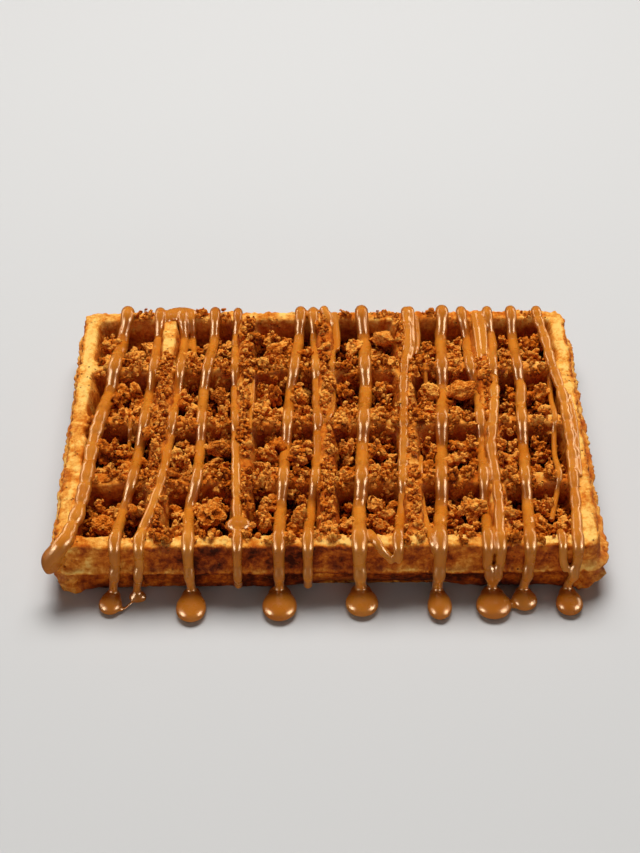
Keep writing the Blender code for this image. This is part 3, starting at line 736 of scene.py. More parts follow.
# Short and thin runs of each group: x, y, height and radius at each point
THIN_RUNS = {
    "sauce_left": (
        ((-57.4, 58.0, 21.4, 1.4), (-57.0, 54.4, 20.8, 1.2), (-56.9, 52.0, 17.0, 0.9)),
        ((-48.6, 58.4, 21.2, 1.7), (-48.4, 54.6, 20.8, 1.6), (-48.2, 52.4, 17.6, 1.5),
         (-48.0, 50.4, 14.6, 1.3), (-47.4, 44.0, 15.6, 1.2), (-46.8, 38.0, 17.2, 1.0)),
        ((-66.4, 1.5, 21.2, 0.9), (-66.7, -2.6, 19.8, 0.9), (-67.0, -5.4, 16.0, 0.8),
         (-67.4, -12.0, 16.6, 0.7)),
    ),
    "sauce_mid_left": (
        ((-25.3, 22.0, 20.6, 0.8), (-25.4, 14.0, 20.2, 0.9), (-25.6, 4.0, 21.0, 0.9),
         (-25.7, -3.0, 20.8, 0.8), (-25.7, -11.0, 19.6, 0.7)),
        ((-0.1, 60.2, 20.6, 1.5), (0.0, 57.6, 21.7, 1.7), (1.4, 54.0, 20.9, 1.6), (2.3, 50.6, 17.4, 1.5),
         (2.4, 42.0, 17.0, 1.5), (2.4, 33.0, 19.6, 1.5), (2.3, 28.0, 21.4, 1.4), (2.6, 23.6, 19.6, 0.9),
         (2.9, 14.0, 18.8, 0.8), (2.2, 5.0, 20.2, 0.9), (0.6, 0.0, 21.3, 1.2), (-0.9, -5.0, 17.8, 1.3),
         (-1.9, -16.0, 17.9, 1.2)),
        ((3.6, 57.5, 20.9, 1.5), (4.2, 52.0, 19.0, 1.3), (4.6, 46.0, 17.8, 1.2), (4.4, 39.0, 18.6, 0.9)),
    ),
    "sauce_mid_right": (
        ((13.2, -52.0, 20.4, 1.3), (15.0, -56.6, 21.5, 1.6), (17.2, -59.2, 19.6, 1.5),
         (19.4, -59.8, 17.0, 1.4), (20.6, -60.0, 15.4, 1.4)),
        ((31.0, 60.0, 19.8, 1.6), (31.2, 57.5, 21.3, 1.7), (31.3, 50.0, 20.6, 1.6),
         (31.2, 42.0, 20.6, 1.6), (30.4, 35.0, 21.0, 1.4), (29.4, 30.0, 21.3, 1.2)),
        ((33.2, 56.0, 20.2, 1.3), (33.4, 51.0, 18.8, 1.4), (33.4, 45.0, 18.4, 1.3),
         (32.8, 39.0, 19.2, 1.1), (32.0, 35.0, 20.0, 0.9)),
        ((35.2, 29.0, 21.3, 0.9), (35.2, 24.6, 19.0, 0.9), (35.3, 20.0, 17.0, 0.8)),
        ((31.7, -15.0, 18.0, 0.9), (30.8, -26.0, 20.9, 1.1), (30.9, -32.0, 17.8, 1.0),
         (31.6, -44.0, 18.4, 1.1), (32.4, -53.0, 20.8, 1.3), (33.2, -57.4, 21.2, 1.3),
         (34.0, -59.7, 19.0, 1.2)),
    ),
    "sauce_right": (
        ((54.2, 56.4, 21.0, 1.3), (54.6, 51.0, 20.8, 1.4), (54.8, 44.0, 20.7, 1.4),
         (54.8, 37.0, 20.8, 1.3), (54.6, 31.0, 21.2, 1.1)),
        ((56.6, 57.4, 20.8, 1.3), (57.2, 52.0, 20.7, 1.4), (57.3, 45.0, 20.6, 1.3),
         (57.0, 38.0, 20.7, 1.2), (56.6, 33.0, 21.0, 1.0)),
        ((79.6, 29.0, 21.5, 1.1), (79.2, 24.8, 18.0, 1.1), (78.6, 15.0, 17.0, 1.0), (78.1, 1.0, 21.3, 1.1),
         (77.6, -4.4, 17.6, 1.0), (76.9, -14.0, 17.0, 1.0), (76.6, -27.0, 21.4, 1.2),
         (75.6, -32.0, 17.4, 1.0), (72.6, -44.0, 16.8, 1.0)),
        ((74.2, -52.0, 20.0, 1.3), (74.4, -55.6, 21.7, 1.5), (74.5, -58.9, 20.4, 1.5),
         (74.6, -59.9, 17.0, 1.4), (75.2, -60.2, 14.0, 1.4), (76.4, -60.6, 11.6, 1.5)),
        ((84.2, 12.0, 21.2, 0.8), (84.6, -2.0, 21.5, 1.0), (84.0, -16.0, 21.2, 0.9),
         (83.4, -28.0, 21.4, 0.9)),
    ),
}
# Drops at the foot of the front: centre x, front edge y, width, length, height, lean to the right
DROPS = {
    "drop_1": (-69.1, -69.4, 7.6, 10.8, 4.0, -1.2),
    "drop_2": (-61.5, -64.0, 5.8, 5.2, 3.0, 0.3),
    "drop_3": (-43.9, -72.9, 9.8, 14.4, 5.0, 0.1),
    "drop_4": (-15.6, -72.7, 11.2, 15.0, 5.2, 0.1),
    "drop_5": (10.7, -71.0, 10.7, 13.6, 5.0, 0.3),
    "drop_6": (35.2, -72.4, 8.0, 13.8, 4.8, 0.9),
    "drop_7": (52.9, -72.4, 11.4, 13.8, 5.2, 0.2),
    "drop_8": (63.0, -68.7, 8.4, 10.2, 4.2, 0.2),
    "drop_9": (77.1, -70.9, 8.8, 12.0, 4.8, 0.5),
}
# Fine threads on the surface, between two drops
THREADS = {
    "sauce_left": (((-66.6, -67.6, 0.9, 0.55), (-64.6, -65.6, 0.7, 0.45), (-62.6, -63.4, 1.0, 0.55)),),
    "sauce_right": (((57.6, -66.6, 0.8, 0.6), (59.6, -66.8, 0.7, 0.5), (61.2, -66.6, 0.9, 0.6)),),
}
# Pools and thick ends of each group: centre and half sizes
POOLS = {
    "sauce_left": (((-52.4, 57.0, 20.9), (6.6, 3.7, 1.9)), ((-52.4, 59.4, 18.9), (5.6, 1.4, 3.0)),
                   ((-85.8, -57.2, 16.4), (3.2, 3.2, 4.4))),
    "sauce_mid_left": (((-28.5, -49.6, 21.3), (4.1, 3.3, 2.5)),),
}
# One pass over a well, for a strand of this radius: distance forward from the rib behind, height against
# the rib tops, and share of the radius
PASS_RADIUS = 1.9
WELL_PASS = (
    (-2.4, 0.65, 1.03), (0.0, 0.95, 1.06), (1.6, 0.75, 1.05), (2.8, 0.05, 1.02), (3.9, -1.15, 0.98),
    (5.0, -2.5, 0.96), (6.2, -3.9, 0.96), (7.6, -5.0, 0.98), (9.6, -5.4, 1.01), (12.0, -5.0, 1.03),
    (15.0, -4.2, 1.04), (18.0, -3.1, 1.03), (20.8, -1.9, 1.02), (23.2, -0.6, 1.02),
)
# A strand that lies on a rim instead of crossing the wells, from this y to the front
ON_RIM = {"s01": -3.0, "s17": 53.0}
# Waves along a strand: size, rate and share of its own sway
RIPPLES = ((0.6, 0.62, 1.0), (0.4, 1.37, 2.0))
# How a strand starts over the rear rim: distance from the rim's face, height and share of the radius
REAR_START = ((0.5, HEIGHT - 6.0, 0.8), (0.7, HEIGHT - 3.4, 0.9), (0.1, HEIGHT - 0.6, 1.05))
# How it runs down the front: share of the way in x to its foot, distance from the rim's face, height and
# share of the radius
ROUND_CORNER = ((0.32, 0.6, HEIGHT + 0.1, 1.18), (0.64, -0.1, HEIGHT - 2.0, 1.25),
                (0.96, -0.3, HEIGHT - 4.4, 1.3), (1.0, -0.8, SEAM + 4.2, 1.3), (0.84, -1.4, SEAM + 2.2, 1.2))
OVER_FRONT = ((0.0, -0.2, HEIGHT - 0.5, 1.08), (0.0, -0.95, HEIGHT - 2.2, 0.98),
              (0.0, -1.05, HEIGHT - 4.6, 0.93))
PAST_SEAM = ((0.0, -1.2, 14.0, 0.9), (0.35, -2.3, 12.0, 0.95), (0.35, -3.1, 10.4, 0.95),
             (0.6, -2.5, 8.0, 0.82))
INTO_DROP = ((0.85, -2.0, 5.4, 0.8), (1.0, -2.1, 3.0, 0.82), (1.0, -3.2, 1.7, 0.95))
# Feet that end on the waffle: x from the last crossing, and the way down
FEET = {
    "corner": (-5.0, ROUND_CORNER),
    "mid_end": (-0.3, OVER_FRONT + ((1.0, -1.0, 15.9, 0.85),)),
    "low_end": (0.0, OVER_FRONT + PAST_SEAM + ((0.35, -1.7, 6.0, 0.82), (0.35, -1.3, 4.4, 0.9))),
}


def strand_x(values, y):
    """x of a strand at y, by a smooth curve through its crossings."""
    last = len(values) - 1
    where = min(max((FIRST_CROSSING - y) / CROSSING_STEP, 0.0), float(last))
    i = min(int(where), last - 1)
    return through(*(values[min(max(k, 0), last)] for k in (i - 1, i, i + 1, i + 2)), where - i)


def seen_at(values, y, z):
    """x at a place of which the photograph gives x only where its line of sight meets the rib tops."""
    ratio = (EYE[2] - z) / (EYE[2] - HEIGHT)
    x = strand_x(values, EYE[1] + (y - EYE[1]) / ratio)
    return EYE[0] + (x - EYE[0]) * ratio


def crust_top(x, y):
    """Height of the crust under a place: the ribs' tops, or the walls and floors of the wells."""
    if abs(x) > GRID_X or abs(y) > GRID_Y:
        return HEIGHT
    a = HALF_WELL - abs((x + GRID_X) % PITCH - PITCH / 2)
    b = HALF_WELL - abs((y + GRID_Y) % PITCH - PITCH / 2)
    return HEIGHT - WELL_DEPTH * float(ease(-0.8, WELL_DRAFT + 0.4, min(a, b)))


def strand_points(name):
    """Points and radii of one strand from its end over the rear rim to its foot."""
    width, foot, values = STRANDS[name]
    rng = random.Random(name)
    radius = width / 2
    rim_from = ON_RIM.get(name, -HALF_Y)
    sway = rng.uniform(0.0, 2.0 * math.pi)
    points = [(values[0], HALF_Y + away, z, radius * share) for away, z, share in REAR_START]
    for rib in range(ROWS):
        start = (ROWS / 2 - rib) * PITCH
        lift = rng.uniform(-0.4, 0.5)
        for away, height, share in WELL_PASS:
            y = start - away
            if rib == 0 and away < 0:
                continue
            loose = 0.0 if height > -2.0 or away < 7 else rng.uniform(-0.45, 0.45) + lift
            if y < rim_from:
                height = 0.5 + 0.1 * height
                share = 1.0 + 0.3 * (share - 1.0)
                loose = 0.0
            z = HEIGHT + height * (radius / PASS_RADIUS if height > 0 else 1.0) + loose
            ripple = sum(size * math.sin(rate * y + shift * sway) for size, rate, shift in RIPPLES)
            lifted = crust_top(seen_at(values, y, HEIGHT), y) + 0.35 * radius
            if lifted > z + 0.3 or y < rim_from:
                z = max(z, lifted) + 0.30 * ripple
                share *= 1.0 + 0.15 * ripple
            else:
                share *= 1.0 + 0.04 * ripple
            x = seen_at(values, y, z) + (rng.uniform(-0.15, 0.15) if height < -2.0 else 0.0)
            points.append((x, y, past_chunks(x, y, z, radius), radius * share * rng.uniform(0.97, 1.04)))
    x = values[-1]
    crest = HEIGHT + 0.6
    points.append((seen_at(values, -GRID_Y + 2.2, crest), -GRID_Y + 2.2, crest, radius * 1.06))
    points.append((x, -GRID_Y - 0.2, HEIGHT + 0.85, radius * 1.15))
    shift, steps = FEET.get(foot) or (DROPS[foot][0] - x, OVER_FRONT + PAST_SEAM + INTO_DROP)
    points += [(x + shift * over, -HALF_Y + away, z, radius * share) for over, away, z, share in steps]
    if foot in DROPS:
        drop_x, front_y, _width, length, height, _lean = DROPS[foot]
        points.append((drop_x, front_y + length * 0.62, height * 0.42, radius * 1.25))
    return points


def fine_points(points, step=0.5):
    """The same route as closely spaced points on a smooth curve."""
    keys = np.array(points)
    out = []
    for i in range(len(keys) - 1):
        a, b, c, d = keys[max(i - 1, 0)], keys[i], keys[i + 1], keys[min(i + 2, len(keys) - 1)]
        count = max(int(np.linalg.norm((c - b)[:3]) / step), 2)
        for k in range(count):
            out.append(through(a, b, c, d, k / count))
    out.append(keys[-1])
    return np.array(out)


def sauce_tree():
    """Sweeps a round section along routes of varying thickness."""
    tree, given = new_shape_tree("poured_sauce", (("Sides", "Int", 12), ("Thickness", "Float", 1.0)))
    section = tree.add("GeometryNodeCurvePrimitiveCircle", {"Resolution": given.outputs["Sides"],
                                                            "Radius": 1.0})
    thickness = tree.math("MULTIPLY", tree.add("GeometryNodeInputRadius"), given.outputs["Thickness"])
    swept = tree.add("GeometryNodeCurveToMesh", {"Curve": given, "Profile Curve": section, "Scale": thickness,
                                                 "Fill Caps": True})
    return end_shape_tree(tree, given, swept)


def route_object(name, routes):
    """One curve object with a spline for each route of x, y, z and radius in millimetres."""
    curve = bpy.data.curves.new(name, "CURVE")
    curve.dimensions = "3D"
    for route in routes:
        spline = curve.splines.new("POLY")
        spline.points.add(len(route) - 1)
        for point, (x, y, z, radius) in zip(spline.points, route):
            point.co = (x * MM, y * MM, z * MM, 1.0)
            point.radius = radius * MM
    return link(name, curve)


def blob(bm, centre, size, narrow=0.0):
    """Adds a smooth ball of the given half sizes, which may narrow towards its rear."""
    made = bmesh.ops.create_icosphere(bm, subdivisions=4, radius=1.0)["verts"]
    for vert in made:
        x, y, z = vert.co
        widen = 1.0 - narrow * y
        vert.co = ((centre[0] + x * size[0] * widen) * MM, (centre[1] + y * size[1]) * MM,
                   (centre[2] + z * size[2]) * MM)


# The two balls of a drop, as shares: of its lean in x, of its length in y, of its height in z, and half
# sizes of its width, length and height
DROP_BALLS = ((0.6, 0.42, 0.38, (0.5, 0.42, 0.62)), (0.2, 0.64, 0.36, (0.37, 0.36, 0.52)))
DROP_NARROWS = 0.10


def add_drop(bm, name):
    """A thick drop: a ball near its front, leaning a little, that narrows towards its neck."""
    x, front_y, width, length, height, lean = DROPS[name]
    for over, along, up, half in DROP_BALLS:
        blob(bm, (x + lean * over, front_y + length * along, height * up),
             (width * half[0], length * half[1], height * half[2]), DROP_NARROWS)


# Least height of the sauce over the floor, in metres
SAUCE_FLOOR = 0.00006


def build_sauce(material):
    """All strands, runs and drops, flowed together in four groups that don't touch."""
    tree = sauce_tree()
    pieces = []
    for group, names in SAUCE_GROUPS.items():
        routes = [strand_points(name) for name in names]
        routes += [*THIN_RUNS[group], *THREADS.get(group, ())]
        guide = route_object(group, [fine_points(route) for route in routes])
        swept = grow(guide, tree, {"Sides": 14, "Thickness": 1.0, "Material": material})
        bm = bmesh.new()
        bm.from_mesh(swept.data)
        bpy.data.objects.remove(swept)
        for name in names:
            foot = STRANDS[name][1]
            if foot in DROPS:
                add_drop(bm, foot)
        for centre, size in POOLS.get(group, ()):
            blob(bm, centre, size)
        for vert in bm.verts:
            vert.co.z = max(vert.co.z, SAUCE_FLOOR)
        flowed = link(group, mesh_of(bm, group))
        remesh = flowed.modifiers.new("flow_together", "REMESH")
        remesh.mode = "VOXEL"
        remesh.voxel_size = 0.40 * MM
        remesh.use_smooth_shade = True
        soften = flowed.modifiers.new("soften", "SMOOTH")
        soften.factor = 0.5
        soften.iterations = 5
        flowed = settle(flowed)
        dress(flowed, material)
        pieces.append(flowed)
    return pieces


# Large biscuit chunks

# Centre, size, turn and tilt in degrees, shade, boldness of its grain, number of broken faces, and pits,
# as directions from the middle with their widths
CHUNKS = {
    "biscuit_chunk_1": ((46.9, 13.9, 21.8), (8.8, 6.6, 5.2), 14, -8, 0.66, 0.25, 1, ()),
    "biscuit_chunk_2": ((20.4, 42.8, 20.5), (8.5, 6.8, 6.6), -20, 10, 0.80, 0.3, 9, ()),
    "biscuit_chunk_3": ((-37.5, -43.1, 19.8), (7.8, 8.2, 5.0), 35, 8, 0.68, 1.0, 0,
                        (((0.01, -0.64, 0.76), 0.36), ((-0.89, 0.04, 0.45), 0.32),
                         ((-0.72, -0.59, 0.36), 0.26))),
    "biscuit_chunk_4": ((68.4, 15.9, 15.8), (9.2, 6.6, 5.0), 10, 8, 0.52, 0.25, 0, ()),
    "biscuit_chunk_5": ((-36.8, 15.8, 19.2), (5.0, 7.4, 5.6), -10, 6, 0.56, 0.6, 6, ()),
    "biscuit_chunk_6": ((-36.2, -11.1, 19.5), (6.8, 6.2, 5.0), -20, -8, 0.62, 0.9, 4, ()),
    "biscuit_chunk_7": ((-72.8, -44.1, 15.9), (7.0, 7.3, 4.8), 30, 6, 0.62, 0.9, 3, ()),
}
# Half of a chunk against its size, which its grains then fill out; and the depth of its pits, and the painted
# shade in them
CHUNK_HALF = 0.56
PIT_DEPTH = 0.48
PIT_PAINTED_SHADE = 0.9
# Grains on a lump: cells across its radius, and how boldly they stand out; for crumbs, by subdivisions
CHUNK_GRAINS = ((2.3, 0.28), (5.2, 0.7), (11.0, 0.8))
CRUMB_GRAINS = {4: ((1.6, 1.0), (3.4, 0.9)), 3: ((1.6, 1.0), (3.0, 0.7)), 2: ((1.6, 1.0),), 1: ((1.6, 0.9),)}
# Square of a grain's radius, and the height of its tip, in cells
GRAIN_REACH = 0.42
GRAIN_TIP = 0.65


def grains(place, scale):
    """Height of rounded grains in cells of 1 / scale, and how near the tip of one this is, from 0 to 1."""
    near = noise.voronoi(place * scale)[0][0]
    dome = math.sqrt(max(0.0, GRAIN_REACH - near * near))
    return dome / scale, dome / GRAIN_TIP


def broken_lump(way, own, breaks, levels):
    """A point of a broken, grainy lump of about unit radius, and its place between crevice and tip."""
    place = way * (1.0 + 0.5 * noise.noise(way * 1.1 + own))
    for direction, limit in breaks:
        over = place.dot(direction) - limit
        if over > 0:
            place -= direction * over * 0.85
    tip = 0.0
    for scale, boldness in levels:
        height, near = grains(way + own, scale)
        place += way * (height - 0.35 / scale) * boldness
        tip += near / len(levels)
    return place, tip


def random_breaks(rng, count, low, high):
    return [(Vector([rng.gauss(0, 1) for _axis in range(3)]).normalized(), rng.uniform(low, high))
            for _face in range(count)]


def past_chunks(x, y, z, radius):
    """Height at which a strand passes over a low chunk or under a high one."""
    for centre, size, *_rest in CHUNKS.values():
        beside = abs(x - centre[0]) - size[0] / 2
        along = abs(y - centre[1]) / (size[1] / 2 + 1.5 * radius)
        if beside < radius * 0.3 and along < 1.0:
            half = size[2] / 2 * math.sqrt(1.0 - along * along)
            if centre[2] < z + 2.0:
                z = max(z, centre[2] + half + radius * 0.45)
            else:
                z = min(z, centre[2] - half - radius * 0.9)
    return z


def build_chunks(material):
    """Each large broken piece: a block with broken faces, grainy all over, with open pits in some."""
    pieces = []
    for number, (name, chunk) in enumerate(CHUNKS.items()):
        centre, size, turn, tilt, shade, bold, broken, hollows = chunk
        bm = bmesh.new()
        bmesh.ops.create_icosphere(bm, subdivisions=6, radius=1.0)
        own = Vector((number * 5.3, 2.0, 7.0))
        breaks = random_breaks(random.Random(number + 40), broken, 0.5, 0.8)
        levels = [(scale, bold * height) for scale, height in CHUNK_GRAINS]
        tips = []
        for vert in bm.verts:
            way = vert.co.normalized()
            place, tip = broken_lump(way, own, breaks, levels)
            for direction, wide in hollows:
                away = (way - Vector(direction).normalized()).length / wide
                place -= way * PIT_DEPTH * math.exp(-away ** 4)
                # Painted shade: a pit lowers the tip value, so the material paints it darker.
                tip -= PIT_PAINTED_SHADE * math.exp(-away ** 4)
            vert.co = Vector([part * side for part, side in zip(place, size)]) * CHUNK_HALF
            tips.append(tip)
        rotation = Matrix.Rotation(math.radians(turn), 4, "Z") @ Matrix.Rotation(math.radians(tilt), 4, "Y")
        bm.transform(Matrix.Scale(MM, 4) @ Matrix.Translation(Vector(centre)) @ rotation)
        piece_name = name.replace("biscuit_", "broken_biscuit_")
        mesh = mesh_of(bm, piece_name)
        store(mesh, "shade", [shade] * len(mesh.vertices))
        # Nearness to a grain's tip, which the material paints paler, with crevices and pits darker: painted
        # light and shade.
        store(mesh, "tip", tips)
        piece = link(piece_name, mesh)
        dress(piece, material)
        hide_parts(name)
        pieces.append(piece)
    return pieces


# Crumbs

# How much each well is heaped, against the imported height, from the rear row to the front row
HEAPS = (
    (-1.2, -0.6, 1.0, 1.0, 0.4, -0.4),
    (-0.2, 0.5, 1.2, 1.0, 0.6, 0.4),
    (0.6, 1.4, 1.2, 1.5, 1.2, -0.2),
    (-0.2, 0.8, 1.4, 1.4, 1.2, -0.1),
)
# How much one more step of heap raises the bed, in millimetres, and adds to the number of its crumbs
HEAP_RISE = 0.6
HEAP_MORE = 0.22
# The imported bed: its height at a well's middle, and its rise from the rear wall to the front one in each
# row; points along a side, its distance from the top edge of the wall, and its shade, kept low as painted
# shade in the gaps between the loose crumbs
BED_MIDDLE = 13.4
BED_SLOPES = (7.0, 4.6, 2.8, 3.2)
BED_POINTS = 60
BED_GAP = 0.2
BED_SHADE = 0.45
# Its knobs, large and small: cells in a millimetre, height, and place in the noise
BED_KNOBS = ((0.42, 1.3, 3.0), (0.95, 1.2, 9.0))


def well_centres():
    for row in range(ROWS):
        for column in range(COLUMNS):
            yield row, column, (column - (COLUMNS - 1) / 2) * PITCH, ((ROWS - 1) / 2 - row) * PITCH


def bed_height(x, y):
    """Packed crumbs under the loose ones: lower at the rear wall of each well."""
    from_middle = ((y / PITCH + ROWS / 2) % 1.0) - 0.5
    slope = BED_SLOPES[min(max(int(ROWS / 2 - y / PITCH), 0), ROWS - 1)]
    return BED_MIDDLE - slope * from_middle + wave(x * 0.19, y * 0.19, 1.5)


def build_bed(material):
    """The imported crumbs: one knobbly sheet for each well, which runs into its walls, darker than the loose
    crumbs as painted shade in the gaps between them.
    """
    places, faces, tips = [], [], []
    count = BED_POINTS
    half = HALF_WELL - BED_GAP
    for row, column, x0, y0 in well_centres():
        start = len(places)
        heap = HEAPS[row][column]
        for j in range(count):
            for i in range(count):
                x = x0 + (i / (count - 1) * 2 - 1) * half
                y = y0 + (j / (count - 1) * 2 - 1) * half
                z = bed_height(x, y) + heap * HEAP_RISE
                tip = 0.0
                for scale, height, level in BED_KNOBS:
                    knob, near = grains(Vector((x, y, level)), scale)
                    z += height * knob
                    tip += near
                places.append((x, y, z - 1.0))
                tips.append(0.5 * tip)
        for j in range(count - 1):
            for i in range(count - 1):
                a = start + j * count + i
                faces.append((a, a + 1, a + count + 1, a + count))
    bed = mesh_from("packed_crumb_bed", places, faces)
    store(bed.data, "shade", [BED_SHADE] * len(places))
    # Nearness to a knob's tip, which the material paints paler, with crevices darker: painted light and
    # shade.
    store(bed.data, "tip", tips)
    dress(bed, material)
    return bed


def crumb_shapes(label, subdivisions, variants):
    """Loose crumb shapes of one kind, each a different knobbly lump of unit size."""
    collection = bpy.data.collections.new(label + "_shapes")
    for number in range(variants):
        bm = bmesh.new()
        bmesh.ops.create_icosphere(bm, subdivisions=subdivisions, radius=1.0)
        own = Vector((number * 3.1, subdivisions * 7.7, 1.3))
        rng = random.Random(number + subdivisions * 100)
        stretch = (rng.uniform(0.8, 1.35), rng.uniform(0.75, 1.25), rng.uniform(0.65, 1.0))
        breaks = random_breaks(rng, 4, 0.45, 0.85)
        tips = []
        for vert in bm.verts:
            place, tip = broken_lump(vert.co.normalized(), own, breaks, CRUMB_GRAINS[subdivisions])
            vert.co = [a * b for a, b in zip(place, stretch)]
            tips.append(tip if subdivisions > 2 else 0.4 + 0.5 * tip)
        mesh = mesh_of(bm, f"{label}_{number}")
        # Nearness to a grain's tip, which the material paints paler, with crevices darker: painted light and
        # shade.
        store(mesh, "tip", tips)
        collection.objects.link(bpy.data.objects.new(mesh.name, mesh))
    return collection


# Least and most shade of a crumb
CRUMB_SHADES = (0.42, 0.88)


def crumb_tree():
    """Sets a crumb on every point, turned and chosen at random, at the size stored on the point."""
    tree, given = new_shape_tree("loose_crumbs", (
        ("Shapes", "Collection", None), ("Size", "Float", 1.0), ("Seed", "Int", SEED)))
    points = tree.add("GeometryNodeMeshToPoints", {"Mesh": given})
    shapes = tree.add("GeometryNodeCollectionInfo", {"Collection": given.outputs["Shapes"],
                                                     "Separate Children": True, "Reset Children": True})
    full_turn = (2 * math.pi, 2 * math.pi, 2 * math.pi)
    turn = tree.add("FunctionNodeRandomValue", {1: full_turn, "Seed": given.outputs["Seed"]},
                    data_type="FLOAT_VECTOR")
    size = tree.add("GeometryNodeInputNamedAttribute", {"Name": "size"}, data_type="FLOAT")
    scale = tree.math("MULTIPLY", size, given.outputs["Size"])
    placed = tree.add("GeometryNodeInstanceOnPoints", {"Points": points, "Instance": shapes,
                                                       "Pick Instance": True, "Rotation": turn,
                                                       "Scale": scale})
    tint = tree.add("FunctionNodeRandomValue", {2: CRUMB_SHADES[0], 3: CRUMB_SHADES[1], "Seed": 3},
                    data_type="FLOAT")
    stored = tree.add("GeometryNodeStoreNamedAttribute", {"Geometry": placed, "Name": "shade",
                                                          "Value": tint.outputs[1]},
                      data_type="FLOAT", domain="INSTANCE")
    return end_shape_tree(tree, given, stored)


def sauce_lines():
    """For every strand and thin run: y of its points in rising order, with x, height and radius."""
    routes = [strand_points(name) for name in STRANDS] + [run for runs in THIN_RUNS.values() for run in runs]
    lines = []
    for route in routes:
        points = fine_points(route)
        points = points[points[:, 1] > -HALF_Y + 1.0]
        lines.append(points[np.argsort(points[:, 1])])
    return lines


def away_from_sauce(lines, x, y, z, radius):
    """False where a crumb would stand out through a strand of sauce."""
    for line in lines:
        at = int(np.searchsorted(line[:, 1], y))
        if at == 0 or at == len(line):
            continue
        line_x, _y, line_z, line_radius = line[at]
        if abs(x - line_x) > line_radius + radius * 0.3 or z + radius < line_z - 0.2 * line_radius:
            continue
        if z + radius > line_z + 0.8 * line_radius or abs(x - line_x) < line_radius * 0.8:
            return False
    return True


# How far before a chunk only low crumbs lie
CHUNK_VIEW = 5.0


def away_from_chunks(x, y, z, radius):
    """False where a crumb would stand in a chunk, or so near before it that it hides it."""
    for centre, size, *_rest in CHUNKS.values():
        place = [(a - b) / (c / 2 + radius * 0.7) for a, b, c in zip((x, y, z), centre, size)]
        if sum(part * part for part in place) < 1.0:
            return False
        before = 0.0 < centre[1] - y < size[1] / 2 + CHUNK_VIEW
        if before and abs(x - centre[0]) < size[0] / 2 + 0.5 * radius and z + radius > centre[2] - 0.5:
            return False
    return True


# Crumbs in a well of ordinary fullness: how many, and the least and most radius
WELL_SIZES = ((16, 2.3, 4.3), (10, 1.35, 2.3), (8, 0.8, 1.35), (15, 0.4, 0.8))
# Most height of the crumbs at the rear wall of the wells, from the rear row to the front row
REAR_TOPS = (13.5, 16.5, 17.5, 17.5)
# Crumbs on the ribs and rims: places tried over the whole grid, and the least and most radius
RIB_SIZES = ((2300, 1.35, 2.6), (2600, 0.8, 1.35), (3400, 0.4, 0.8))
# How far they stray from a rib's middle, how near the edge they come, and how high over the rib tops
RIB_STRAY = 1.5
RIB_EDGE = 1.5
RIB_HEAP = 3.4
# Side of the squares in which a crumb looks for those under it
SQUARE = 5.0
# Crumbs stuck to the walls under the ribs: places tried, least and most radius, and how far below the rib
# tops they may be
WALL_TRIES = 1500
WALL_SIZES = (0.5, 1.7)
WALL_BAND = (7.5, 0.5)
# Each kind of crumb: least and most radius, subdivisions of its shapes, and number of shapes
CRUMB_KINDS = {
    "crumb_lumps": (2.9, 9.0, 4, 16),
    "small_lumps": (2.3, 2.9, 4, 14),
    "coarse_crumbs": (1.35, 2.3, 3, 18),
    "middling_crumbs": (0.8, 1.35, 2, 14),
    "fine_crumbs": (0.0, 0.8, 1, 10),
}


# How near two crumbs come, against their radii
CRUMB_TOUCH = 0.82


def rest_on(others, x, y, z, radius):
    """Height at which a crumb comes to rest on those below it."""
    for ox, oy, oz, other in others:
        away = math.hypot(x - ox, y - oy)
        touch = CRUMB_TOUCH * (radius + other)
        if away < touch:
            z = max(z, oz + math.sqrt(touch * touch - away * away))
    return z


def heap_crumbs():
    """Drops crumbs one by one into the wells, each onto the bed and the crumbs below it, and scatters
    more along the ribs and walls. Returns x, y, z and radius of each."""
    rng = random.Random(SEED)
    lines = sauce_lines()
    settled = []
    for row, column, x0, y0 in well_centres():
        heap = HEAPS[row][column]
        mine = []
        sizes = [rng.uniform(low, high) for many, low, high in WELL_SIZES
                 for _ in range(round(many * (1.0 + heap * HEAP_MORE)))]
        for radius in sizes:
            best = None
            limit = HALF_WELL - 1.6 - radius * 0.55
            low = radius > WELL_SIZES[1][1]
            for _try in range(4):
                x = x0 + rng.uniform(-1, 1) * limit
                y = y0 + (rng.uniform(-1, 1) * 0.95 - 0.11) * limit
                ground = bed_height(x, y) + heap * HEAP_RISE
                z = rest_on(mine, x, y, ground + 0.4 + radius * 0.35, radius)
                if best is None or (z - ground < best[4]) == low:
                    best = (x, y, z, radius, z - ground)
            x, y, z, radius = best[:4]
            over_rim = abs(x) + 0.7 * radius > GRID_X - RIB_HALF and z + radius > HEIGHT
            room = ease(HALF_WELL, HALF_WELL - 8.0, y - y0 + 0.6 * radius)
            rear_top = REAR_TOPS[row]
            if over_rim or z + radius > rear_top + (HEIGHT + 1.2 + max(heap, 0.0) - rear_top) * room:
                continue
            if away_from_chunks(x, y, z, radius) and away_from_sauce(lines, x, y, z, radius):
                mine.append(best[:4])
        settled += mine
    return settled + rib_crumbs(rng, lines) + wall_crumbs(rng, lines)


# Where crumbs lie on the rear rim: middle and half width of each stretch
REAR_RIM_CRUMBS = ((-65.0, 4.2), (-45.4, 3.0), (-35.6, 2.2), (5.6, 3.0), (22.0, 5.0), (38.0, 2.4),
                   (73.0, 2.0))
# Stretches of rib that sauce covers, with few crumbs: x from and to, and y from and to
GLAZED = ((-64.0, -44.0, 34.0, 53.0), (50.0, 62.0, 30.0, HALF_Y))


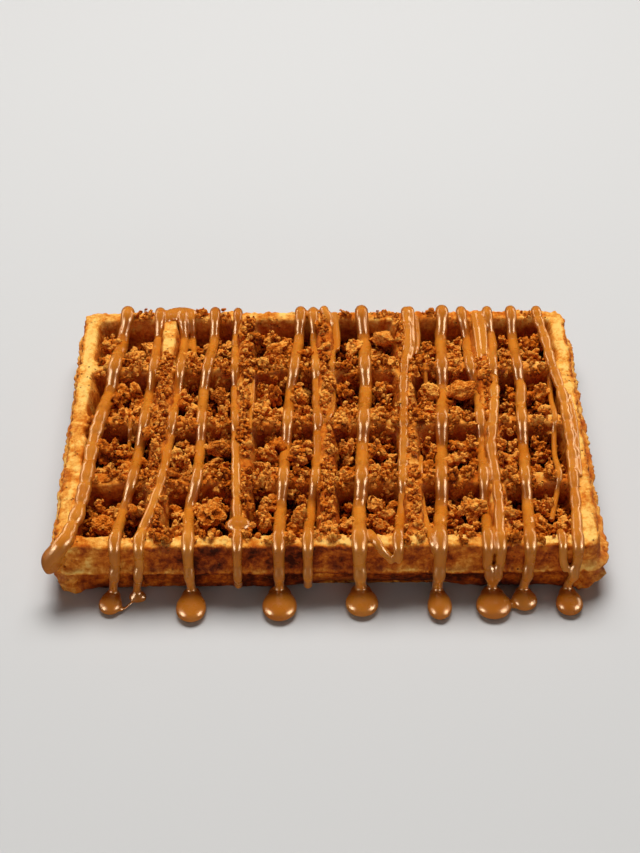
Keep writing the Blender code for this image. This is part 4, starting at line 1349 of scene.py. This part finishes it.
def dusting(x, y):
    """How thickly crumbs lie on the ribs and rims at a place, from 0 to 1."""
    middle = 1.0 - ease(60.0, 76.0, abs(x))
    rim = 1.0 - (0.93 if y > 0 else 0.75) * ease(52.0, 55.5, abs(y))
    inner = ease(2.0, 8.0, GRID_X - abs(x)) * ease(0.0, 4.0, GRID_Y - abs(y))
    amount = 0.36 * inner + 0.56 * middle
    if any(left < x < right and front < y < rear for left, right, front, rear in GLAZED):
        amount *= 0.04
    if y > 53.0:
        return 0.6 if any(abs(x - at) < half for at, half in REAR_RIM_CRUMBS) else 0.01
    return amount * rim * (0.85 + 0.6 * wave(x * 0.09, y * 0.09, 4.0))


def rib_crumbs(rng, lines):
    """Crumbs that lie on the ribs and rims, the smaller ones on and between the larger."""
    found = []
    cells = {}
    for tries, low, high in RIB_SIZES:
        for _ in range(tries):
            if rng.random() < 0.55:
                x = rng.uniform(-1, 1) * (HALF_X - 2.5)
                y = (rng.randrange(ROWS + 1) - ROWS / 2) * PITCH + rng.gauss(0, RIB_STRAY)
            else:
                x = (rng.randrange(COLUMNS + 1) - COLUMNS / 2) * PITCH + rng.gauss(0, RIB_STRAY)
                y = rng.uniform(-1, 1) * (HALF_Y - 2.5)
            if abs(x) > HALF_X - RIB_EDGE or abs(y) > HALF_Y - RIB_EDGE or rng.random() > dusting(x, y):
                continue
            radius = rng.uniform(low, high) * (0.7 if y > 52.0 else 1.0)
            cell = (int(x // SQUARE), int(y // SQUARE))
            near = [crumb for i in (-1, 0, 1) for j in (-1, 0, 1)
                    for crumb in cells.get((cell[0] + i, cell[1] + j), ())]
            z = rest_on(near, x, y, HEIGHT + 0.1 + radius * 0.3, radius)
            if z + radius > HEIGHT + RIB_HEAP:
                continue
            if away_from_chunks(x, y, z, radius) and away_from_sauce(lines, x, y, z, radius):
                cells.setdefault(cell, []).append((x, y, z, radius))
                found.append((x, y, z, radius))
    return found


def wall_crumbs(rng, lines):
    """Small crumbs stuck to the walls at the rear of the wells."""
    found = []
    for _ in range(WALL_TRIES):
        x = rng.uniform(-1, 1) * GRID_X
        rib_y = (rng.randrange(ROWS + 1) - ROWS / 2) * PITCH
        z = rng.uniform(HEIGHT - WALL_BAND[0], HEIGHT - WALL_BAND[1])
        y = rib_y - RIB_HALF - (HEIGHT - z) / WELL_DEPTH * WELL_DRAFT
        radius = rng.uniform(*WALL_SIZES)
        if rib_y > 50.0 or y < -HALF_Y + 2.0 or rng.random() > 0.8 * dusting(x, min(rib_y, 50.0)):
            continue
        if away_from_sauce(lines, x, y, z, radius):
            found.append((x, y, z, radius))
    return found


def build_crumbs(material):
    """Crumbs of five sizes, one piece for each kind."""
    tree = crumb_tree()
    crumbs = heap_crumbs()
    pieces = []
    for name, (low, high, subdivisions, variants) in CRUMB_KINDS.items():
        chosen = [crumb for crumb in crumbs if low <= crumb[3] < high]
        guide = mesh_from(name, [crumb[:3] for crumb in chosen], [])
        store(guide.data, "size", [crumb[3] * MM for crumb in chosen])
        shapes = crumb_shapes(name, subdivisions, variants)
        piece = grow(guide, tree, {"Shapes": shapes, "Size": 1.0, "Seed": SEED, "Material": material})
        if subdivisions > 2:
            smooth_faces(piece)
        for shape in list(shapes.objects):
            bpy.data.objects.remove(shape)
        bpy.data.collections.remove(shapes)
        pieces.append(piece)
    return pieces


# Stage


# Half size of the floor and its height, just under the waffle, in metres
FLOOR_HALF = 12.0
FLOOR_Z = -0.0002
# Where the lights point, the place of those above, and their colours
AIM_AT = (0.0, 0.0, 0.02)
ABOVE = (0.0, 0.40, 0.80)
WHITE = (1.0, 1.0, 1.0)
WARM = (1.0, 0.82, 0.54)


def build_floor():
    mesh = bpy.data.meshes.new("floor")
    corners = ((-1, -1), (1, -1), (1, 1), (-1, 1))
    mesh.from_pydata([(x * FLOOR_HALF, y * FLOOR_HALF, FLOOR_Z) for x, y in corners], [], [(0, 1, 2, 3)])
    floor = link("floor", mesh)
    material, tree, shader = new_material("pale_floor")
    tree.fill(shader, {"Base Color": (0.60, 0.59, 0.575, 1.0), "Roughness": 0.8, "Specular IOR Level": 0.0})
    floor.data.materials.append(material)
    floor.visible_glossy = False


def add_light(name, light, place, strength):
    """A light at a place, turned towards the waffle."""
    light.energy = strength
    obj = link(name, light)
    obj.location = place
    obj.rotation_euler = (Vector(AIM_AT) - Vector(place)).to_track_quat("-Z", "Y").to_euler()
    return obj


def add_softbox(name, place, width, height, power, colour, glossy=True, diffuse=True):
    light = bpy.data.lights.new(name, "AREA")
    light.shape = "RECTANGLE"
    light.size = width
    light.size_y = height
    light.color = colour
    obj = add_light(name, light, place, power)
    obj.visible_glossy = glossy
    obj.visible_diffuse = diffuse


def build_stage():
    """Pale floor, soft light from above and the rear, and warm boxes that show in gloss alone."""
    build_floor()
    add_softbox("overhead", ABOVE, 0.7, 0.45, 6.4, WHITE, glossy=False)
    add_softbox("low_front", (0.0, -0.75, 0.16), 0.9, 0.25, 1.35, WHITE, glossy=False)
    sky = bpy.data.lights.new("sky", "SUN")
    sky.angle = 0.5
    add_light("sky", sky, ABOVE, 1.62).visible_glossy = False
    for name, side in (("left", -1.0), ("right", 1.0)):
        add_softbox(name + "_strip", (side * 0.50, 0.12, 0.17), 1.1, 0.18, 3.2, WARM, diffuse=False)
        add_softbox(name + "_front_box", (side * 0.44, -0.24, 0.26), 0.26, 0.26, 3.4, WARM, diffuse=False)
    world = bpy.data.worlds.new("studio")
    world.use_nodes = True
    Tree(world.node_tree).fill(world.node_tree.nodes["Background"],
                               {"Color": (0.9, 0.9, 0.9, 1.0), "Strength": 0.05})
    bpy.context.scene.world = world
    bpy.context.scene.view_settings.view_transform = "Standard"


def build_camera():
    """The photograph's viewpoint, from the fit to the waffle's ribs, rims and seam."""
    camera = bpy.data.cameras.new("camera")
    camera.sensor_fit = "HORIZONTAL"
    camera.sensor_width = SENSOR_WIDTH
    camera.lens = FOCAL_PIXELS * SENSOR_WIDTH / PHOTO_PIXELS
    camera.clip_start = 0.01
    obj = link("camera", camera)
    right = Vector(VIEW_RIGHT).normalized()
    forward = Vector(VIEW_FORWARD).normalized()
    rotation = Matrix((right, right.cross(forward), -forward)).transposed()
    obj.matrix_world = Matrix.Translation(Vector(EYE) * MM) @ rotation.to_4x4()
    bpy.context.scene.camera = obj


def main():
    crust = crust_material()
    biscuit = biscuit_material("biscuit_crumb", 0.0)
    # The packed bed is painted 0.40 darker than the loose crumbs: painted shade in the gaps between them.
    packed = biscuit_material("packed_biscuit", -0.40)
    sauce = sauce_material()
    for piece in build_crust(crust):
        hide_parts("waffle")
        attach(piece, "root")
    for piece in build_sauce(sauce):
        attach(piece, "root")
    for piece in build_chunks(biscuit):
        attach(piece, "root")
    bed = build_bed(packed)
    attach(bed, "root")
    for piece in build_crumbs(biscuit):
        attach(piece, "root")
    build_stage()
    build_camera()


main()
